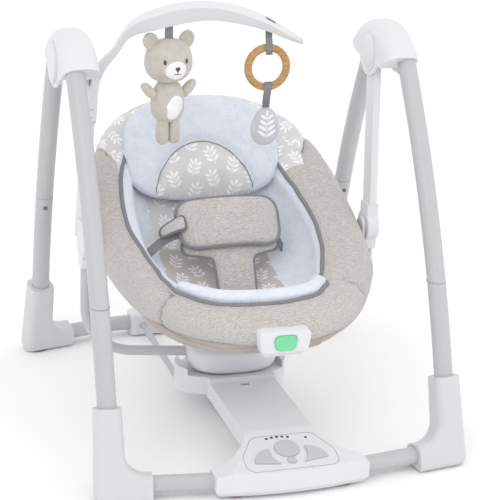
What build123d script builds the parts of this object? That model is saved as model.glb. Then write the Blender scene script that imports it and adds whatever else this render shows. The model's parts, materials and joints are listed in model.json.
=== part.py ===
from build123d import *
import math
import os

# Portable baby swing, millimetres, +Z up, front towards -Y, origin on the floor under the middle.

# Overall stance
FLOOR_CLEARANCE = 3.0
FRONT_REACH = 340.0
REAR_REACH = 340.0
LEG_X = 263.0
FRONT_FOOT_BACK = 56.0
REAR_FOOT_BACK = 53.0
FRONT_LEG_LEAN = 34.0
REAR_LEG_LEAN = 28.0
SOCKET_TOP_Z = 129.0
BAR_Z = 21.0

# Tubes and general clearances
LEG_D = 28.6
TUBE_WALL = 1.5
BAR_D = 26.0
ROD_D = 11.0
SUPPORT_TUBE_D = 16.0
FIT_GAP = 0.3
RUN_GAP = 0.4
SHELL_WALL = 2.6
PIN_CLEARANCE = 0.05

# Hub and its axis, shared by the swing arms and the folding rear legs
PIVOT_Y = 45.0
PIVOT_Z = 570.0
HUB_RISE = 48.0
HUB_INNER_X = 226.0
HUB_OUTER_X = 282.0
HUB_WALL = 3.0
HUB_CROWN_R = 22.0
HUB_EXIT_OUT = 70.0
HUB_EXIT_DROP = 5.0
HUB_COLLAR = 20.0
HUB_LOBE_R = 40.0
AXLE_D = 12.0
AXLE_CAP_T = 2.5
AXLE_CAP_PROUD = 1.0
FOLD_BUTTON_W = 56.0
FOLD_BUTTON_H = 66.0
FOLD_BUTTON_T = 7.0
FOLD_BUTTON_PROUD = 4.0
FOLD_BUTTON_TRAVEL = 3.0
KNUCKLE_R = 18.0
KNUCKLE_PLUG = 40.0
KNUCKLE_FLANGE = 2.0

# Legs
LEG_INSERT = 20.0
LEG_BEND = 9.0
LEG_FOOT_Z = 84.0
FRONT_SEAM_Z = 265.0
REAR_SEAM_Z = 299.0
SNAP_PIN_D = 7.0
SNAP_PIN_DROP = 16.0
SNAP_PIN_PROUD = 1.5
MOUTH_GAP = 1.0

# Feet
SOCKET_D = 41.0
FOOT_HEEL = 5.0
FOOT_HEEL_R = 16.0
FOOT_INSTEP_R = 32.0
FOOT_TOE_H = 38.0
FOOT_ROUND = 12.0
FOOT_INNER_X = 205.0
FOOT_PAD_D = 34.0

# Control base
HOUSING_LOW_Z = 5.0
HOUSING_HALF = 118.0
HOUSING_BEVEL_OUT = 6.0
HOUSING_BEVEL_UP = 9.0
HOUSING_LENGTH = 102.0
BASE_PAD_D = 24.0
BASE_PAD_X = 84.0
BASE_PAD_BACK = 29.0
HOUSING_FLARE = 80.0
FLARE_BACK = 52.0
HOUSING_FRONT_H = 42.0
HOUSING_END_H = 37.0
HOUSING_END_DEPTH = 34.0
FLANK_HALF = 84.0
FLANK_H = 48.0
FRONT_BAR_BACK = 28.0
FRONT_BAR_INNER_X = 62.0
PANEL_REACH = 94.0
SPINE_TOP_Z = 66.0
SPINE_LOW_Z = 38.0
SPINE_HALF = 54.0
SHOULDER_HALF = 62.0
SPINE_SLOT_W = 14.0
SPINE_SLOT_D = 6.0
SPINE_SLOT_BACK = 12.0
TRAY_T = 2.5
DOOR_HALF_W = 40.0
DOOR_BACK = 20.0
DOOR_LENGTH = 54.0
BATTERY_D = 26.0
BATTERY_LENGTH = 46.0
BATTERY_COUNT = 4
BOARD_T = 1.6
BOARD_GAP = 0.5
BOARD_BACK = 4.0
BOARD_LENGTH = 62.0
BOSS_D = 6.0
BOSS_X = 40.0
BOSS_V = 70.0

# Control panel
PANEL_T = 2.0
PANEL_HALF_W = 71.0
PANEL_TOP_HALF = 47.0
PANEL_WIDE = 34.0
PANEL_CORNER_R = 15.0
PANEL_FRONT_GAP = 6.0
PANEL_LENGTH = 76.0
BUTTON_TRAVEL = 1.5
BUTTON_PROUD = 2.0
BUTTON_SKIRT = 3.6
POWER_D = 37.0
POWER_V = 50.0
SMALL_D = 13.0
SMALL_V = 23.5
FAN_INNER_X = 18.0
FAN_OUTER_X = 56.0
FAN_FRONT_V = 18.0
FAN_BACK_V = 52.0
FAN_LIFT = 6.0

# Dock under the swinging seat
SADDLE_R = 509.0
WING_UNDER_R = 538.0
DOCK_HALF = 92.0
DOCK_FRONT_Y = -68.0
DOCK_BACK_Y = 76.0
DOCK_HIGH_Z = 76.0
DOCK_SIDE_GAP = 4.0
DOCK_CORE_HALF = 30.0
COIL_D = 44.0
COIL_H = 16.0

# Rear bar, its housing and the link rods
REAR_BAR_BOW = 32.0
REAR_BAR_BEND_X = 120.0
REAR_BAR_R = 260.0
REAR_HOUSING_HALF = 92.0
REAR_HOUSING_DEPTH = 38.0
REAR_HOUSING_H = 38.0
REAR_HOUSING_ROUND = 6.0
ROD_X = 70.0
ROD_Z = 20.0
ROD_FRONT_Y = 60.0
ROD_INSERT = 5.0

# Swing arms, support tubes and drive hub
ARM_INNER_X = 231.0
ARM_T = 11.5
ARM_EYE_R = 21.0
ARM_BLADE_W = 32.0
ARM_LOBE_R = 25.0
ARM_LOBE_T = 19.0
ARM_SOCKET_W = 26.0
ARM_FOOT_Y = 23.0
ARM_FOOT_Z = 284.0
LOBE_ROUND = 1.2
SUPPORT_X = 236.0
SUPPORT_TOP_Z = 276.0
SUPPORT_CORNER_Z = 104.0
SUPPORT_BEND = 78.0
SUPPORT_ENTRY_X = 50.0
SUPPORT_ENTRY_Y = 5.0
SUPPORT_ENTRY_Z = 93.0
DRIVE_HUB_HALF = 76.0
DRIVE_HUB_NOSE = 34.0
DRIVE_HUB_SIDE_Y = -14.0
DRIVE_HUB_FRONT_Y = -54.0
DRIVE_HUB_BACK_Y = 62.0
DRIVE_HUB_TOP_Z = 108.0
DRIVE_HUB_R = 501.0
DRIVE_HUB_CORNER = 20.0
DRIVE_HUB_ROUND = 7.0
MAGNET_D = 36.0
MAGNET_H = 9.0

# Seat: its rim follows an arc in side view, from the foot end up to the head end
RIM_R = 800.0
RIM_FOOT_Y = -203.0
RIM_FOOT_Z = 222.0
RIM_FOOT_TILT = 5.4
RIM_HALF_W = 182.0
RIM_HALF_L = 253.0
RIM_TAPER = 0.05
RIM_SQUARE = 2.25
RIM_HEAD_SQUARE = 2.8
BOLSTER_SIDE = 36.0
BOLSTER_FRONT = 48.0
BOLSTER_HEAD = 36.0
BOLSTER_SEAM = 35.0
BOLSTER_THICK = 27.0
SIDE_FROM_DEG = -46.0
SIDE_TO_DEG = 34.0
PAN_TOP = -27.4
PAN_WALL = 3.0
PAN_HALF_L = 290.0
PAN_FIRST = -20.0
PAN_LAST = 470.0
PAN_LIP_DEPTH = 33.0
PAN_SWELL = 62.0
PAN_LEAD = 25.0
PAN_SPAN = 540.0
LINER_T = 15.0
LINER_FLOOR = 34.0
LINER_TOP = 6.0
LINER_SEAT = 3.4
LINER_HALF_W = 148.0
LINER_HALF_L = 216.0
LINER_FIRST = 58.0
LINER_LAST = 408.0
RECLINE_Y = 23.0
RECLINE_Z = 284.0
RECLINE_PIN_D = 10.0
BRACKET_X = 225.4
BRACKET_T = 5.0
BRACKET_HALF_Y = 14.0
BRACKET_Z = 236.0

# Pillow and harness
PILLOW_HALF_W = 130.0
PILLOW_HALF_L = 80.0
PILLOW_T = 40.0
PILLOW_Y = 206.0
PILLOW_Z = 368.0
PILLOW_TILT = 72.0
PILLOW_BEND = 24.0
PILLOW_SECTIONS = 9
WAIST_HALF_W = 82.0
WAIST_HALF_L = 42.0
WAIST_T = 14.0
WAIST_Y = 26.0
WAIST_Z = 305.0
WAIST_TILT = 50.0
PAD_ROUND = 0.62
CROTCH_HALF_W = 33.0
CROTCH_WING = 80.0
CROTCH_WING_V = 16.0
CROTCH_TOP = 34.0
CROTCH_STEM = 66.0
CROTCH_CORNER = 8.0
CROTCH_T = 12.0
CROTCH_Y = 8.0
CROTCH_Z = 246.0
CROTCH_TILT = 57.0
STRAP_W = 25.0
STRAP_T = 2.0
STRAP_END_X = 140.0
STRAP_FALL = 34.0
STRAP_V = -6.0

# Vibration unit on the front of the seat
VIB_HALF_W = 42.0
VIB_DEPTH = 22.0
VIB_H = 36.0
VIB_Y = -244.0
VIB_Z = 195.0
VIB_TAPER = 6.0
VIB_CORNER = 9.0
VIB_ROUND = 5.0
VIB_BUTTON_HALF_W = 20.0
VIB_BUTTON_H = 24.0
VIB_POCKET = 8.0
VIB_NECK_HALF = 30.0
VIB_NECK_T = 5.0
VIB_NECK_DROP = 1.5
VIB_NECK_BACK = -218.0

# Toy bar and toys
POST_X = -231.0
POST_TOP_X = -219.0
POST_Y = 86.0
POST_D = 20.0
POST_FOOT_Z = 276.0
POST_ARM_RISE = 3.0
POST_TOP_Z = 462.0
BAR_POINTS = [(-203.0, 542.0), (-143.0, 610.0), (-45.0, 632.0), (45.0, 617.0), (128.0, 578.0)]
BAR_SECTIONS = 9
BAR_TIP_HALF = 4.0
BAR_SWELL = 13.0
BAR_DEEPEN = 3.2
TOY_STRAP_W = 11.0
TOY_STRAP_T = 2.4
BEAR_X = -92.0
BEAR_STRAP_L = 18.0
BEAR_HEAD_H = 70.0
BEAR_BODY_H = 72.0
BEAR_EAR_OUT = 22.0
BEAR_EAR_UP = 45.0
BEAR_EAR_TURN = 28.0
BEAR_ARM_OUT = 17.0
BEAR_ARM_DOWN = 22.0
BEAR_ARM_TURN = 52.0
BEAR_LEG_OUT = 11.5
BEAR_LEG_DOWN = 34.0
# Stuffed shapes: height, half width and half depth of their sections
BEAR_HEAD_LEVELS = [(0, 14, 11), (10, 30, 21), (30, 37, 25), (50, 30, 21), (69.7, 12, 9)]
BEAR_BODY_LEVELS = [(0, 18, 13), (14, 28, 20), (40, 27, 20), (66, 20, 15), (76, 12, 10)]
BEAR_EAR_LEVELS = [(0, 9, 6), (9, 12, 7), (19, 11, 6), (26, 6, 4)]
BEAR_ARM_LEVELS = [(0, 7, 6), (10, 9, 8), (22, 9, 8), (30, 5, 5)]
BEAR_LEG_LEVELS = [(0, 8, 8), (8, 12, 10), (30, 11, 9), (48, 9, 8)]
RING_X = 71.0
RING_STRAP_L = 20.0
RING_D = 76.0
RING_BAND = 12.0
RING_T = 11.0
LEAF_STRAP_L = 26.0
LEAF_H = 64.0
LEAF_TOP_GAP = 0.5
LEAF_LEVELS = [(0, 8, 4), (10, 18, 7), (28, 24, 8), (48, 17, 7), (LEAF_H, 5, 1.2)]

# Values worked out from the ones above
TUBE_R = LEG_D / 2
TUBE_BORE = LEG_D - 2 * TUBE_WALL
EXIT_Z = PIVOT_Z - HUB_EXIT_DROP
HUB_MID_X = (HUB_INNER_X + HUB_OUTER_X) / 2
HUB_FAR = 2 * HUB_EXIT_OUT
HOUSING_FRONT_Y = -FRONT_REACH
HOUSING_BACK_Y = HOUSING_FRONT_Y + HOUSING_LENGTH
PANEL_BACK_Y = HOUSING_FRONT_Y + PANEL_REACH
FLARE_MID_Y = HOUSING_FRONT_Y + FLARE_BACK
FRONT_BAR_Y = HOUSING_FRONT_Y + FRONT_BAR_BACK
BASE_PAD_Y = HOUSING_FRONT_Y + BASE_PAD_BACK
DOOR_FRONT_Y = HOUSING_FRONT_Y + DOOR_BACK
FRONT_FOOT_Y = FRONT_FOOT_BACK - FRONT_REACH
REAR_FOOT_Y = REAR_REACH - REAR_FOOT_BACK
FRONT_SOCKET_Y = FRONT_FOOT_Y + FRONT_LEG_LEAN
REAR_SOCKET_Y = REAR_FOOT_Y - REAR_LEG_LEAN
REAR_BAR_Y = REAR_REACH - REAR_HOUSING_DEPTH / 2
REAR_BAR_END_Y = REAR_BAR_Y - REAR_BAR_BOW
RIM_CENTRE_Y = RIM_FOOT_Y - RIM_R * math.sin(math.radians(RIM_FOOT_TILT))
RIM_CENTRE_Z = RIM_FOOT_Z + RIM_R * math.cos(math.radians(RIM_FOOT_TILT))
FAR = 2 * FRONT_REACH
FRONT_BAR_FROM = Vector(LEG_X - TUBE_WALL, FRONT_FOOT_Y, BAR_Z)
FRONT_BAR_TO = Vector(FRONT_BAR_INNER_X, FRONT_BAR_Y, BAR_Z)
BUTTON_BACK_X = HUB_OUTER_X + FOLD_BUTTON_PROUD - FOLD_BUTTON_T
CUP_FLOOR_X = BUTTON_BACK_X - FOLD_BUTTON_TRAVEL - RUN_GAP
CUP_HALF = (FOLD_BUTTON_W / 2 + HUB_WALL, FOLD_BUTTON_H / 2 + HUB_WALL)
BUTTON_HOLE_HALF = (FOLD_BUTTON_W / 2 + RUN_GAP, FOLD_BUTTON_H / 2 + RUN_GAP)
CAP_HOLE_HALF = (FOLD_BUTTON_W / 2 + FIT_GAP, FOLD_BUTTON_H / 2 + FIT_GAP)
KNUCKLE_FROM_X = ARM_INNER_X + ARM_T + RUN_GAP
KNUCKLE_TO_X = CUP_FLOOR_X - HUB_WALL - RUN_GAP
LOBE_FROM_X = HUB_INNER_X + RUN_GAP
LOBE_TO_X = LOBE_FROM_X + ARM_LOBE_T
SUPPORT_TOP = Vector(SUPPORT_X, ARM_FOOT_Y, SUPPORT_TOP_Z)
SUPPORT_CORNER = Vector(SUPPORT_X, ARM_FOOT_Y, SUPPORT_CORNER_Z)
SUPPORT_ENTRY = Vector(SUPPORT_ENTRY_X, SUPPORT_ENTRY_Y, SUPPORT_ENTRY_Z)
BOARD_LIFT = -BUTTON_SKIRT - BUTTON_TRAVEL - BOARD_GAP

nodes = {}


def add(name, *shapes):
    """Keep the solids of one node."""
    solids = [solid for shape in shapes for solid in shape.solids()]
    nodes[name] = Compound(children=solids) if len(solids) > 1 else solids[0]


def flip(shape):
    """The mirror image of a piece on the other side."""
    return mirror(shape, about=Plane.YZ)


def add_sides(name, right_shapes):
    """Keep a right-hand piece and its mirror image as two nodes."""
    add(name + "_right", *right_shapes)
    add(name + "_left", *[flip(shape) for shape in right_shapes])


def tube(path, outer_d, inner_d=0.0):
    """A round tube or rod along a path of lines and arcs."""
    start = Plane(path @ 0, z_dir=path % 0)
    section = start * Circle(outer_d / 2)
    if inner_d:
        section -= start * Circle(inner_d / 2)
    return sweep(section, path=path)


def side_plane(x):
    """A plane square to X whose own axes are Y and Z."""
    return Plane((x, 0, 0), x_dir=(0, 1, 0), z_dir=(1, 0, 0))


def disc_x(x_from, x_to, y, z, diameter):
    """A round bar along X between two X positions."""
    return extrude(side_plane(x_from) * (Pos(y, z) * Circle(diameter / 2)), x_to - x_from)


def block(x0, x1, y0, y1, z0, z1):
    """A box between two corners."""
    return Pos((x0 + x1) / 2, (y0 + y1) / 2, (z0 + z1) / 2) * Box(x1 - x0, y1 - y0, z1 - z0)


def rounded(points, radius):
    """A face with straight sides and rounded corners."""
    return make_face(FilletPolyline(*points, radius=radius, close=True))


def oval(half_w, half_h, roundness=0.62):
    """A closed oval of four tangent arcs."""
    if half_h > half_w:
        return Rot(0, 0, 90) * oval(half_h, half_w, roundness)
    half_w = max(half_w, half_h * 1.02)
    end_r = half_h * roundness
    reach = half_w - end_r
    flat_r = (reach**2 + half_h**2 - end_r**2) / (2 * (half_h - end_r))
    rise = flat_r - half_h
    stretch = flat_r / math.hypot(reach, rise)
    jx = reach * stretch
    jy = rise * stretch - rise
    return Wire(
        [
            ThreePointArc((jx, -jy), (half_w, 0), (jx, jy)),
            ThreePointArc((jx, jy), (0, half_h), (-jx, jy)),
            ThreePointArc((-jx, jy), (-half_w, 0), (-jx, -jy)),
            ThreePointArc((-jx, -jy), (0, -half_h), (jx, -jy)),
        ]
    )


# Legs and hubs


def leg_arc(sign, socket_y):
    """The bent centre line of a right leg, from the hub's mouth to the top of its foot."""
    top = Vector(LEG_X, PIVOT_Y + sign * HUB_EXIT_OUT, EXIT_Z)
    foot = Vector(LEG_X, socket_y, SOCKET_TOP_Z)
    chord = foot - top
    sag = chord.length / 2 * math.tan(math.radians(LEG_BEND / 2))
    outward = Vector(0, -chord.Z * sign, chord.Y * sign).normalized()
    return ThreePointArc(top, (top + foot) * 0.5 + outward * sag, foot)


def leg_bar(sign, socket_y, z_from, z_to, diameter, bore=0.0):
    """The bent leg bar between two heights, with straight ends in hub and foot."""
    arc = leg_arc(sign, socket_y)
    into_hub = Line(arc @ 0 - (arc % 0) * LEG_INSERT, arc @ 0)
    into_foot = Line(arc @ 1, arc @ 1 + (arc % 1) * (SOCKET_TOP_Z - BAR_Z))
    whole = tube(arc, diameter) + tube(into_hub, diameter) + tube(into_foot, diameter)
    if bore:
        whole -= leg_bar(sign, socket_y, 0, PIVOT_Z + HUB_RISE, bore)
    return whole & block(0, FAR, -FAR, FAR, z_from, z_to)


def leg(sign, socket_y, seam_z):
    """Upper and lower tube of one leg, meeting at a seam."""
    upper = leg_bar(sign, socket_y, seam_z, PIVOT_Z + HUB_RISE, LEG_D, TUBE_BORE)
    lower = leg_bar(sign, socket_y, LEG_FOOT_Z, seam_z, LEG_D, TUBE_BORE)
    return upper, lower


def hub_outline(inset):
    """Side outline of the hub: an arch between the leg exits, with a round lobe at the axis."""
    ends = []
    for sign, socket_y in ((-1, FRONT_SOCKET_Y), (1, REAR_SOCKET_Y)):
        way = leg_arc(sign, socket_y) % 0
        mouth = Vector(PIVOT_Y + sign * HUB_EXIT_OUT, EXIT_Z) - Vector(way.Y, way.Z) * inset
        across = Vector(sign * abs(way.Z), abs(way.Y)) * (HUB_COLLAR - inset)
        ends.append((mouth + across, mouth - across))
    (front_out, front_in), (back_out, back_in) = ends
    crown = ThreePointArc(front_out, (PIVOT_Y, PIVOT_Z + HUB_RISE - inset), back_out)
    sides = [Line(back_out, back_in), Line(back_in, front_in), Line(front_in, front_out)]
    return make_face(Wire([crown] + sides)) + Pos(PIVOT_Y, PIVOT_Z) * Circle(HUB_LOBE_R - inset)


def egg(x, half_w, half_h):
    """Egg outline of the fold button and the axle cap, tip down, on the hub's axis."""
    outline = Wire(
        [
            ThreePointArc((-half_w, 0), (0, half_h * 0.88), (half_w, 0)),
            ThreePointArc((half_w, 0), (half_w * 0.66, -half_h * 0.76), (0, -half_h)),
            ThreePointArc((0, -half_h), (-half_w * 0.66, -half_h * 0.76), (-half_w, 0)),
        ]
    )
    return side_plane(x) * (Pos(PIVOT_Y, PIVOT_Z) * make_face(outline))


def hub_shell():
    """Right hub casing as an inner and an outer half, with the front leg's socket."""
    outer = extrude(side_plane(HUB_INNER_X) * hub_outline(0), HUB_OUTER_X - HUB_INNER_X)
    arcs = [edge for edge in outer.edges() if edge.geom_type == GeomType.CIRCLE]
    crown = [edge for edge in arcs if edge.center().Z > PIVOT_Z + HUB_RISE / 2]
    outer = fillet(crown, HUB_CROWN_R)
    room_from = HUB_INNER_X + HUB_WALL
    room_to = HUB_OUTER_X - HUB_WALL
    room = extrude(side_plane(room_from) * hub_outline(HUB_WALL), room_to - room_from)
    room = fillet(
        [e for e in room.edges() if e.geom_type == GeomType.CIRCLE and e.center().Z > PIVOT_Z + HUB_RISE / 2],
        HUB_CROWN_R - HUB_WALL,
    )
    # The underside is open for the arm and for the rear leg's way forward
    under_z = EXIT_Z - HUB_COLLAR
    front_wall_y = PIVOT_Y - HUB_LOBE_R
    under = block(room_from, room_to, front_wall_y, PIVOT_Y + HUB_FAR, under_z - FAR, EXIT_Z)
    # Socket round the front leg, and the cup that the fold button sits in
    arc = leg_arc(-1, FRONT_SOCKET_Y)
    collar = tube(Line(arc @ 0 - (arc % 0) * LEG_INSERT, arc @ 0), 2 * HUB_COLLAR) & outer
    cup = extrude(egg(CUP_FLOOR_X - HUB_WALL, *CUP_HALF), HUB_OUTER_X - CUP_FLOOR_X + HUB_WALL)
    shell = outer - room - under + collar + cup
    shell -= extrude(egg(CUP_FLOOR_X, *BUTTON_HOLE_HALF), HUB_OUTER_X - CUP_FLOOR_X)
    shell -= leg_bar(-1, FRONT_SOCKET_Y, 0, PIVOT_Z + HUB_RISE, LEG_D + 2 * FIT_GAP)
    shell -= leg_bar(1, REAR_SOCKET_Y, 0, PIVOT_Z + HUB_RISE, LEG_D + 2 * MOUTH_GAP)
    rear = leg_arc(1, REAR_SOCKET_Y)
    rear_depth = LEG_INSERT + KNUCKLE_FLANGE + MOUTH_GAP
    shell -= tube(Line(rear @ 0 - (rear % 0) * rear_depth, rear @ 0), LEG_D)
    shell -= disc_x(HUB_INNER_X, CUP_FLOOR_X, PIVOT_Y, PIVOT_Z, AXLE_D + 2 * PIN_CLEARANCE)
    shell -= extrude(egg(HUB_INNER_X, *CAP_HOLE_HALF), AXLE_CAP_T - AXLE_CAP_PROUD)
    low = PIVOT_Z - HUB_FAR
    high = PIVOT_Z + HUB_FAR
    inner_half = shell & block(0, HUB_MID_X, PIVOT_Y - HUB_FAR, PIVOT_Y + HUB_FAR, low, high)
    outer_half = shell & block(HUB_MID_X, FAR, PIVOT_Y - HUB_FAR, PIVOT_Y + HUB_FAR, low, high)
    return inner_half, outer_half


def axle():
    """Right hub axle with the egg-shaped cap on the hub's inner face as its head."""
    cap_x = HUB_INNER_X - AXLE_CAP_PROUD
    cap = extrude(egg(cap_x, FOLD_BUTTON_W / 2, FOLD_BUTTON_H / 2), AXLE_CAP_T - FIT_GAP)
    return cap + disc_x(cap_x + AXLE_CAP_T / 2, CUP_FLOOR_X - FIT_GAP, PIVOT_Y, PIVOT_Z, AXLE_D)


def fold_button():
    """Right fold button, which is pushed inwards into its cup."""
    return extrude(egg(BUTTON_BACK_X, FOLD_BUTTON_W / 2, FOLD_BUTTON_H / 2), FOLD_BUTTON_T)


def foot(sign, socket_y, foot_y, bar_start, bar_end):
    """Right corner foot: a leg socket that turns into the socket of the base tube."""
    top = leg_arc(sign, socket_y) @ 1
    low = Vector(LEG_X, foot_y, BAR_Z)
    inward = (bar_end - bar_start).normalized()
    rise = top - low
    lean = rise.dot(inward)
    upward = rise - inward * lean
    height = upward.length
    plane = Plane(low, x_dir=inward, z_dir=inward.cross(upward))
    half = SOCKET_D / 2
    reach = (LEG_X - FOOT_INNER_X) / abs(inward.X)
    toe = FOOT_TOE_H - BAR_Z
    heel = Vector(-half - FOOT_HEEL, -BAR_Z - FOOT_HEEL)
    instep = Vector(half, toe)
    profile = make_face(
        Polyline(
            heel,
            (reach, -BAR_Z - FOOT_HEEL),
            (reach, toe),
            instep,
            (lean + half, height),
            (lean - half, height),
            close=True,
        )
    )
    for corner, radius in ((heel, FOOT_HEEL_R), (instep, FOOT_INSTEP_R)):
        profile = fillet([v for v in profile.vertices() if (Vector(v) - corner).length < 1], radius)
    body = extrude(plane * profile, half, both=True)
    long_edges = []
    for edge in body.edges():
        middle = plane.to_local_coords(edge.center())
        if abs(middle.Z) > half - 1 and middle.Y < height - 1 and middle.X < reach - 1:
            long_edges.append(edge)
    body = fillet(long_edges, FOOT_ROUND)
    body &= block(0, FAR, -FAR, FAR, FLOOR_CLEARANCE, FAR)
    body -= leg_bar(sign, socket_y, LEG_FOOT_Z - FIT_GAP, PIVOT_Z, LEG_D + 2 * FIT_GAP)
    bore_start = bar_start - inward * FIT_GAP
    return body - tube(Line(bore_start, bar_end), BAR_D + 2 * FIT_GAP)


def foot_pad(foot_y):
    """Rubber pad under a right foot."""
    disc = Cylinder(FOOT_PAD_D / 2, FLOOR_CLEARANCE, align=(Align.CENTER, Align.CENTER, Align.MIN))
    return Pos(LEG_X, foot_y, 0) * disc


def build_frame():
    """Fixed front half of the frame: hubs, front legs, feet and base tubes."""
    shells = hub_shell()
    add_sides("hub_shell", shells)
    add("hub_axles", axle(), flip(axle()))
    add_sides("fold_button", [fold_button()])
    add_sides("front_leg", leg(-1, FRONT_SOCKET_Y, FRONT_SEAM_Z))
    add_sides("front_foot", [foot(-1, FRONT_SOCKET_Y, FRONT_FOOT_Y, FRONT_BAR_FROM, FRONT_BAR_TO)])
    bar = tube(Line(FRONT_BAR_FROM, FRONT_BAR_TO), BAR_D, BAR_D - 2 * TUBE_WALL)
    add("front_base_tubes", bar, flip(bar))
    pad = foot_pad(FRONT_FOOT_Y)
    disc = Cylinder(BASE_PAD_D / 2, HOUSING_LOW_Z, align=(Align.CENTER, Align.CENTER, Align.MIN))
    base_pad = Pos(BASE_PAD_X, BASE_PAD_Y, 0) * disc
    add("front_foot_pads", pad, flip(pad), base_pad, flip(base_pad))


# Control base with its spine and dock


def base_plan(inset):
    """Plan of the control base: a wide front bar that flares into a narrow spine."""
    front = HOUSING_FRONT_Y + inset
    end_front = FRONT_BAR_Y - HOUSING_END_DEPTH / 2 + inset
    end_back = FRONT_BAR_Y + HOUSING_END_DEPTH / 2 - inset
    half = HOUSING_HALF - inset
    spine = SPINE_HALF - inset
    flare_y = PANEL_BACK_Y - inset
    back = DOCK_FRONT_Y - inset
    outline = [
        ThreePointArc((-half, end_front), (0, front), (half, end_front)),
        Line((half, end_front), (half, end_back)),
        ThreePointArc((half, end_back), (HOUSING_FLARE - inset, FLARE_MID_Y - inset), (spine, flare_y)),
        Line((spine, flare_y), (spine, back)),
        Line((spine, back), (-spine, back)),
        Line((-spine, back), (-spine, flare_y)),
        ThreePointArc((-spine, flare_y), (-HOUSING_FLARE + inset, FLARE_MID_Y - inset), (-half, end_back)),
        Line((-half, end_back), (-half, end_front)),
    ]
    return make_face(Wire(outline))


def base_body(inset):
    """Outer or inner form of the base: plan, front view and side view together."""
    low = HOUSING_LOW_Z
    bevel_z = low + HOUSING_BEVEL_UP
    floor_plan = Pos(0, 0, low) * base_plan(inset + HOUSING_BEVEL_OUT)
    bevel = loft([floor_plan, Pos(0, 0, bevel_z) * base_plan(inset)], ruled=True)
    plan = bevel + Pos(0, 0, bevel_z) * extrude(base_plan(inset), SPINE_TOP_Z)
    step_y = HOUSING_BACK_Y - inset
    shoulder = SHOULDER_HALF - inset
    front_view = Plane.XZ * make_face(
        Polyline(
            (-HOUSING_HALF, low),
            (-HOUSING_HALF, HOUSING_END_H - inset),
            (-FLANK_HALF + inset, FLANK_H - inset),
            (-shoulder, SPINE_TOP_Z - inset),
            (shoulder, SPINE_TOP_Z - inset),
            (FLANK_HALF - inset, FLANK_H - inset),
            (HOUSING_HALF, HOUSING_END_H - inset),
            (HOUSING_HALF, low),
            close=True,
        )
    )
    side_view = side_plane(-FAR) * make_face(
        Polyline(
            (HOUSING_FRONT_Y, low),
            (HOUSING_FRONT_Y, HOUSING_FRONT_H - inset),
            (PANEL_BACK_Y, SPINE_TOP_Z - inset),
            (DOCK_FRONT_Y, SPINE_TOP_Z - inset),
            (DOCK_FRONT_Y, SPINE_LOW_Z + inset),
            (step_y, SPINE_LOW_Z + inset),
            (step_y, low),
            close=True,
        )
    )
    return plan & extrude(front_view, FAR, both=True) & extrude(side_view, 2 * FAR)


def panel_plane(lift):
    """Plane on the sloping control panel, lifted off its surface; its Y runs up the slope."""
    slope = math.atan2(SPINE_TOP_Z - HOUSING_FRONT_H, PANEL_BACK_Y - HOUSING_FRONT_Y)
    normal = Vector(0, -math.sin(slope), math.cos(slope))
    return Plane(Vector(0, HOUSING_FRONT_Y, HOUSING_FRONT_H) + normal * lift, x_dir=(1, 0, 0), z_dir=normal)


def panel_outline(grow):
    """Fascia outline: wide and round at the front, as wide as the spine at the back."""
    half = PANEL_HALF_W + grow
    top = PANEL_TOP_HALF + grow
    v0 = PANEL_FRONT_GAP - grow
    v1 = PANEL_FRONT_GAP + PANEL_LENGTH + grow
    corners = [(-half, v0), (half, v0), (half, v0 + PANEL_WIDE), (top, v1), (-top, v1), (-half, v0 + PANEL_WIDE)]
    return rounded(corners, PANEL_CORNER_R)


def fan(grow):
    """Fan-shaped button outline beside the round power button, on the right."""
    inner = FAN_INNER_X - grow
    outer = FAN_OUTER_X + grow
    v0 = FAN_FRONT_V - grow
    v1 = FAN_BACK_V + grow
    bow = POWER_D / 4
    return make_face(
        Wire(
            [
                Line((inner, v0), (outer, v0 + FAN_LIFT)),
                ThreePointArc((outer, v0 + FAN_LIFT), (outer - bow, (v0 + v1) / 2 + bow), (inner + bow, v1)),
                ThreePointArc((inner + bow, v1), (inner + bow, (v0 + v1) / 2), (inner, v0)),
            ]
        )
    )


def panel_buttons(grow):
    """Outlines of the four panel buttons by name, in the panel plane."""
    small = Pos(0, SMALL_V) * Circle(SMALL_D / 2 + grow)
    return {
        "power_button": Pos(0, POWER_V) * Circle(POWER_D / 2 + grow),
        "speed_button": mirror(fan(grow), about=Plane.YZ),
        "sound_button": fan(grow),
        "timer_button": small,
    }


def base_cover():
    """Top shell of the control base."""
    shell = base_body(0) - base_body(SHELL_WALL)
    pocket = extrude(panel_plane(-PANEL_T) * panel_outline(FIT_GAP), 2 * PANEL_T)
    shell -= pocket
    for outline in panel_buttons(2 * RUN_GAP).values():
        shell -= extrude(panel_plane(0) * outline, 4 * SHELL_WALL, both=True)
    bar = tube(Line(FRONT_BAR_FROM, FRONT_BAR_TO), BAR_D + 2 * FIT_GAP)
    slot = Pos(0, DOCK_FRONT_Y - SPINE_SLOT_BACK, SPINE_TOP_Z) * Box(SPINE_SLOT_W, SPINE_SLOT_D, 4 * SHELL_WALL)
    bosses = Pos(-BOSS_X, BOSS_V) * Circle(BOSS_D / 2) + Pos(BOSS_X, BOSS_V) * Circle(BOSS_D / 2)
    shell += extrude(panel_plane(BOARD_LIFT) * bosses, -BOARD_LIFT - PANEL_T)
    return shell - bar - flip(bar) - slot


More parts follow.
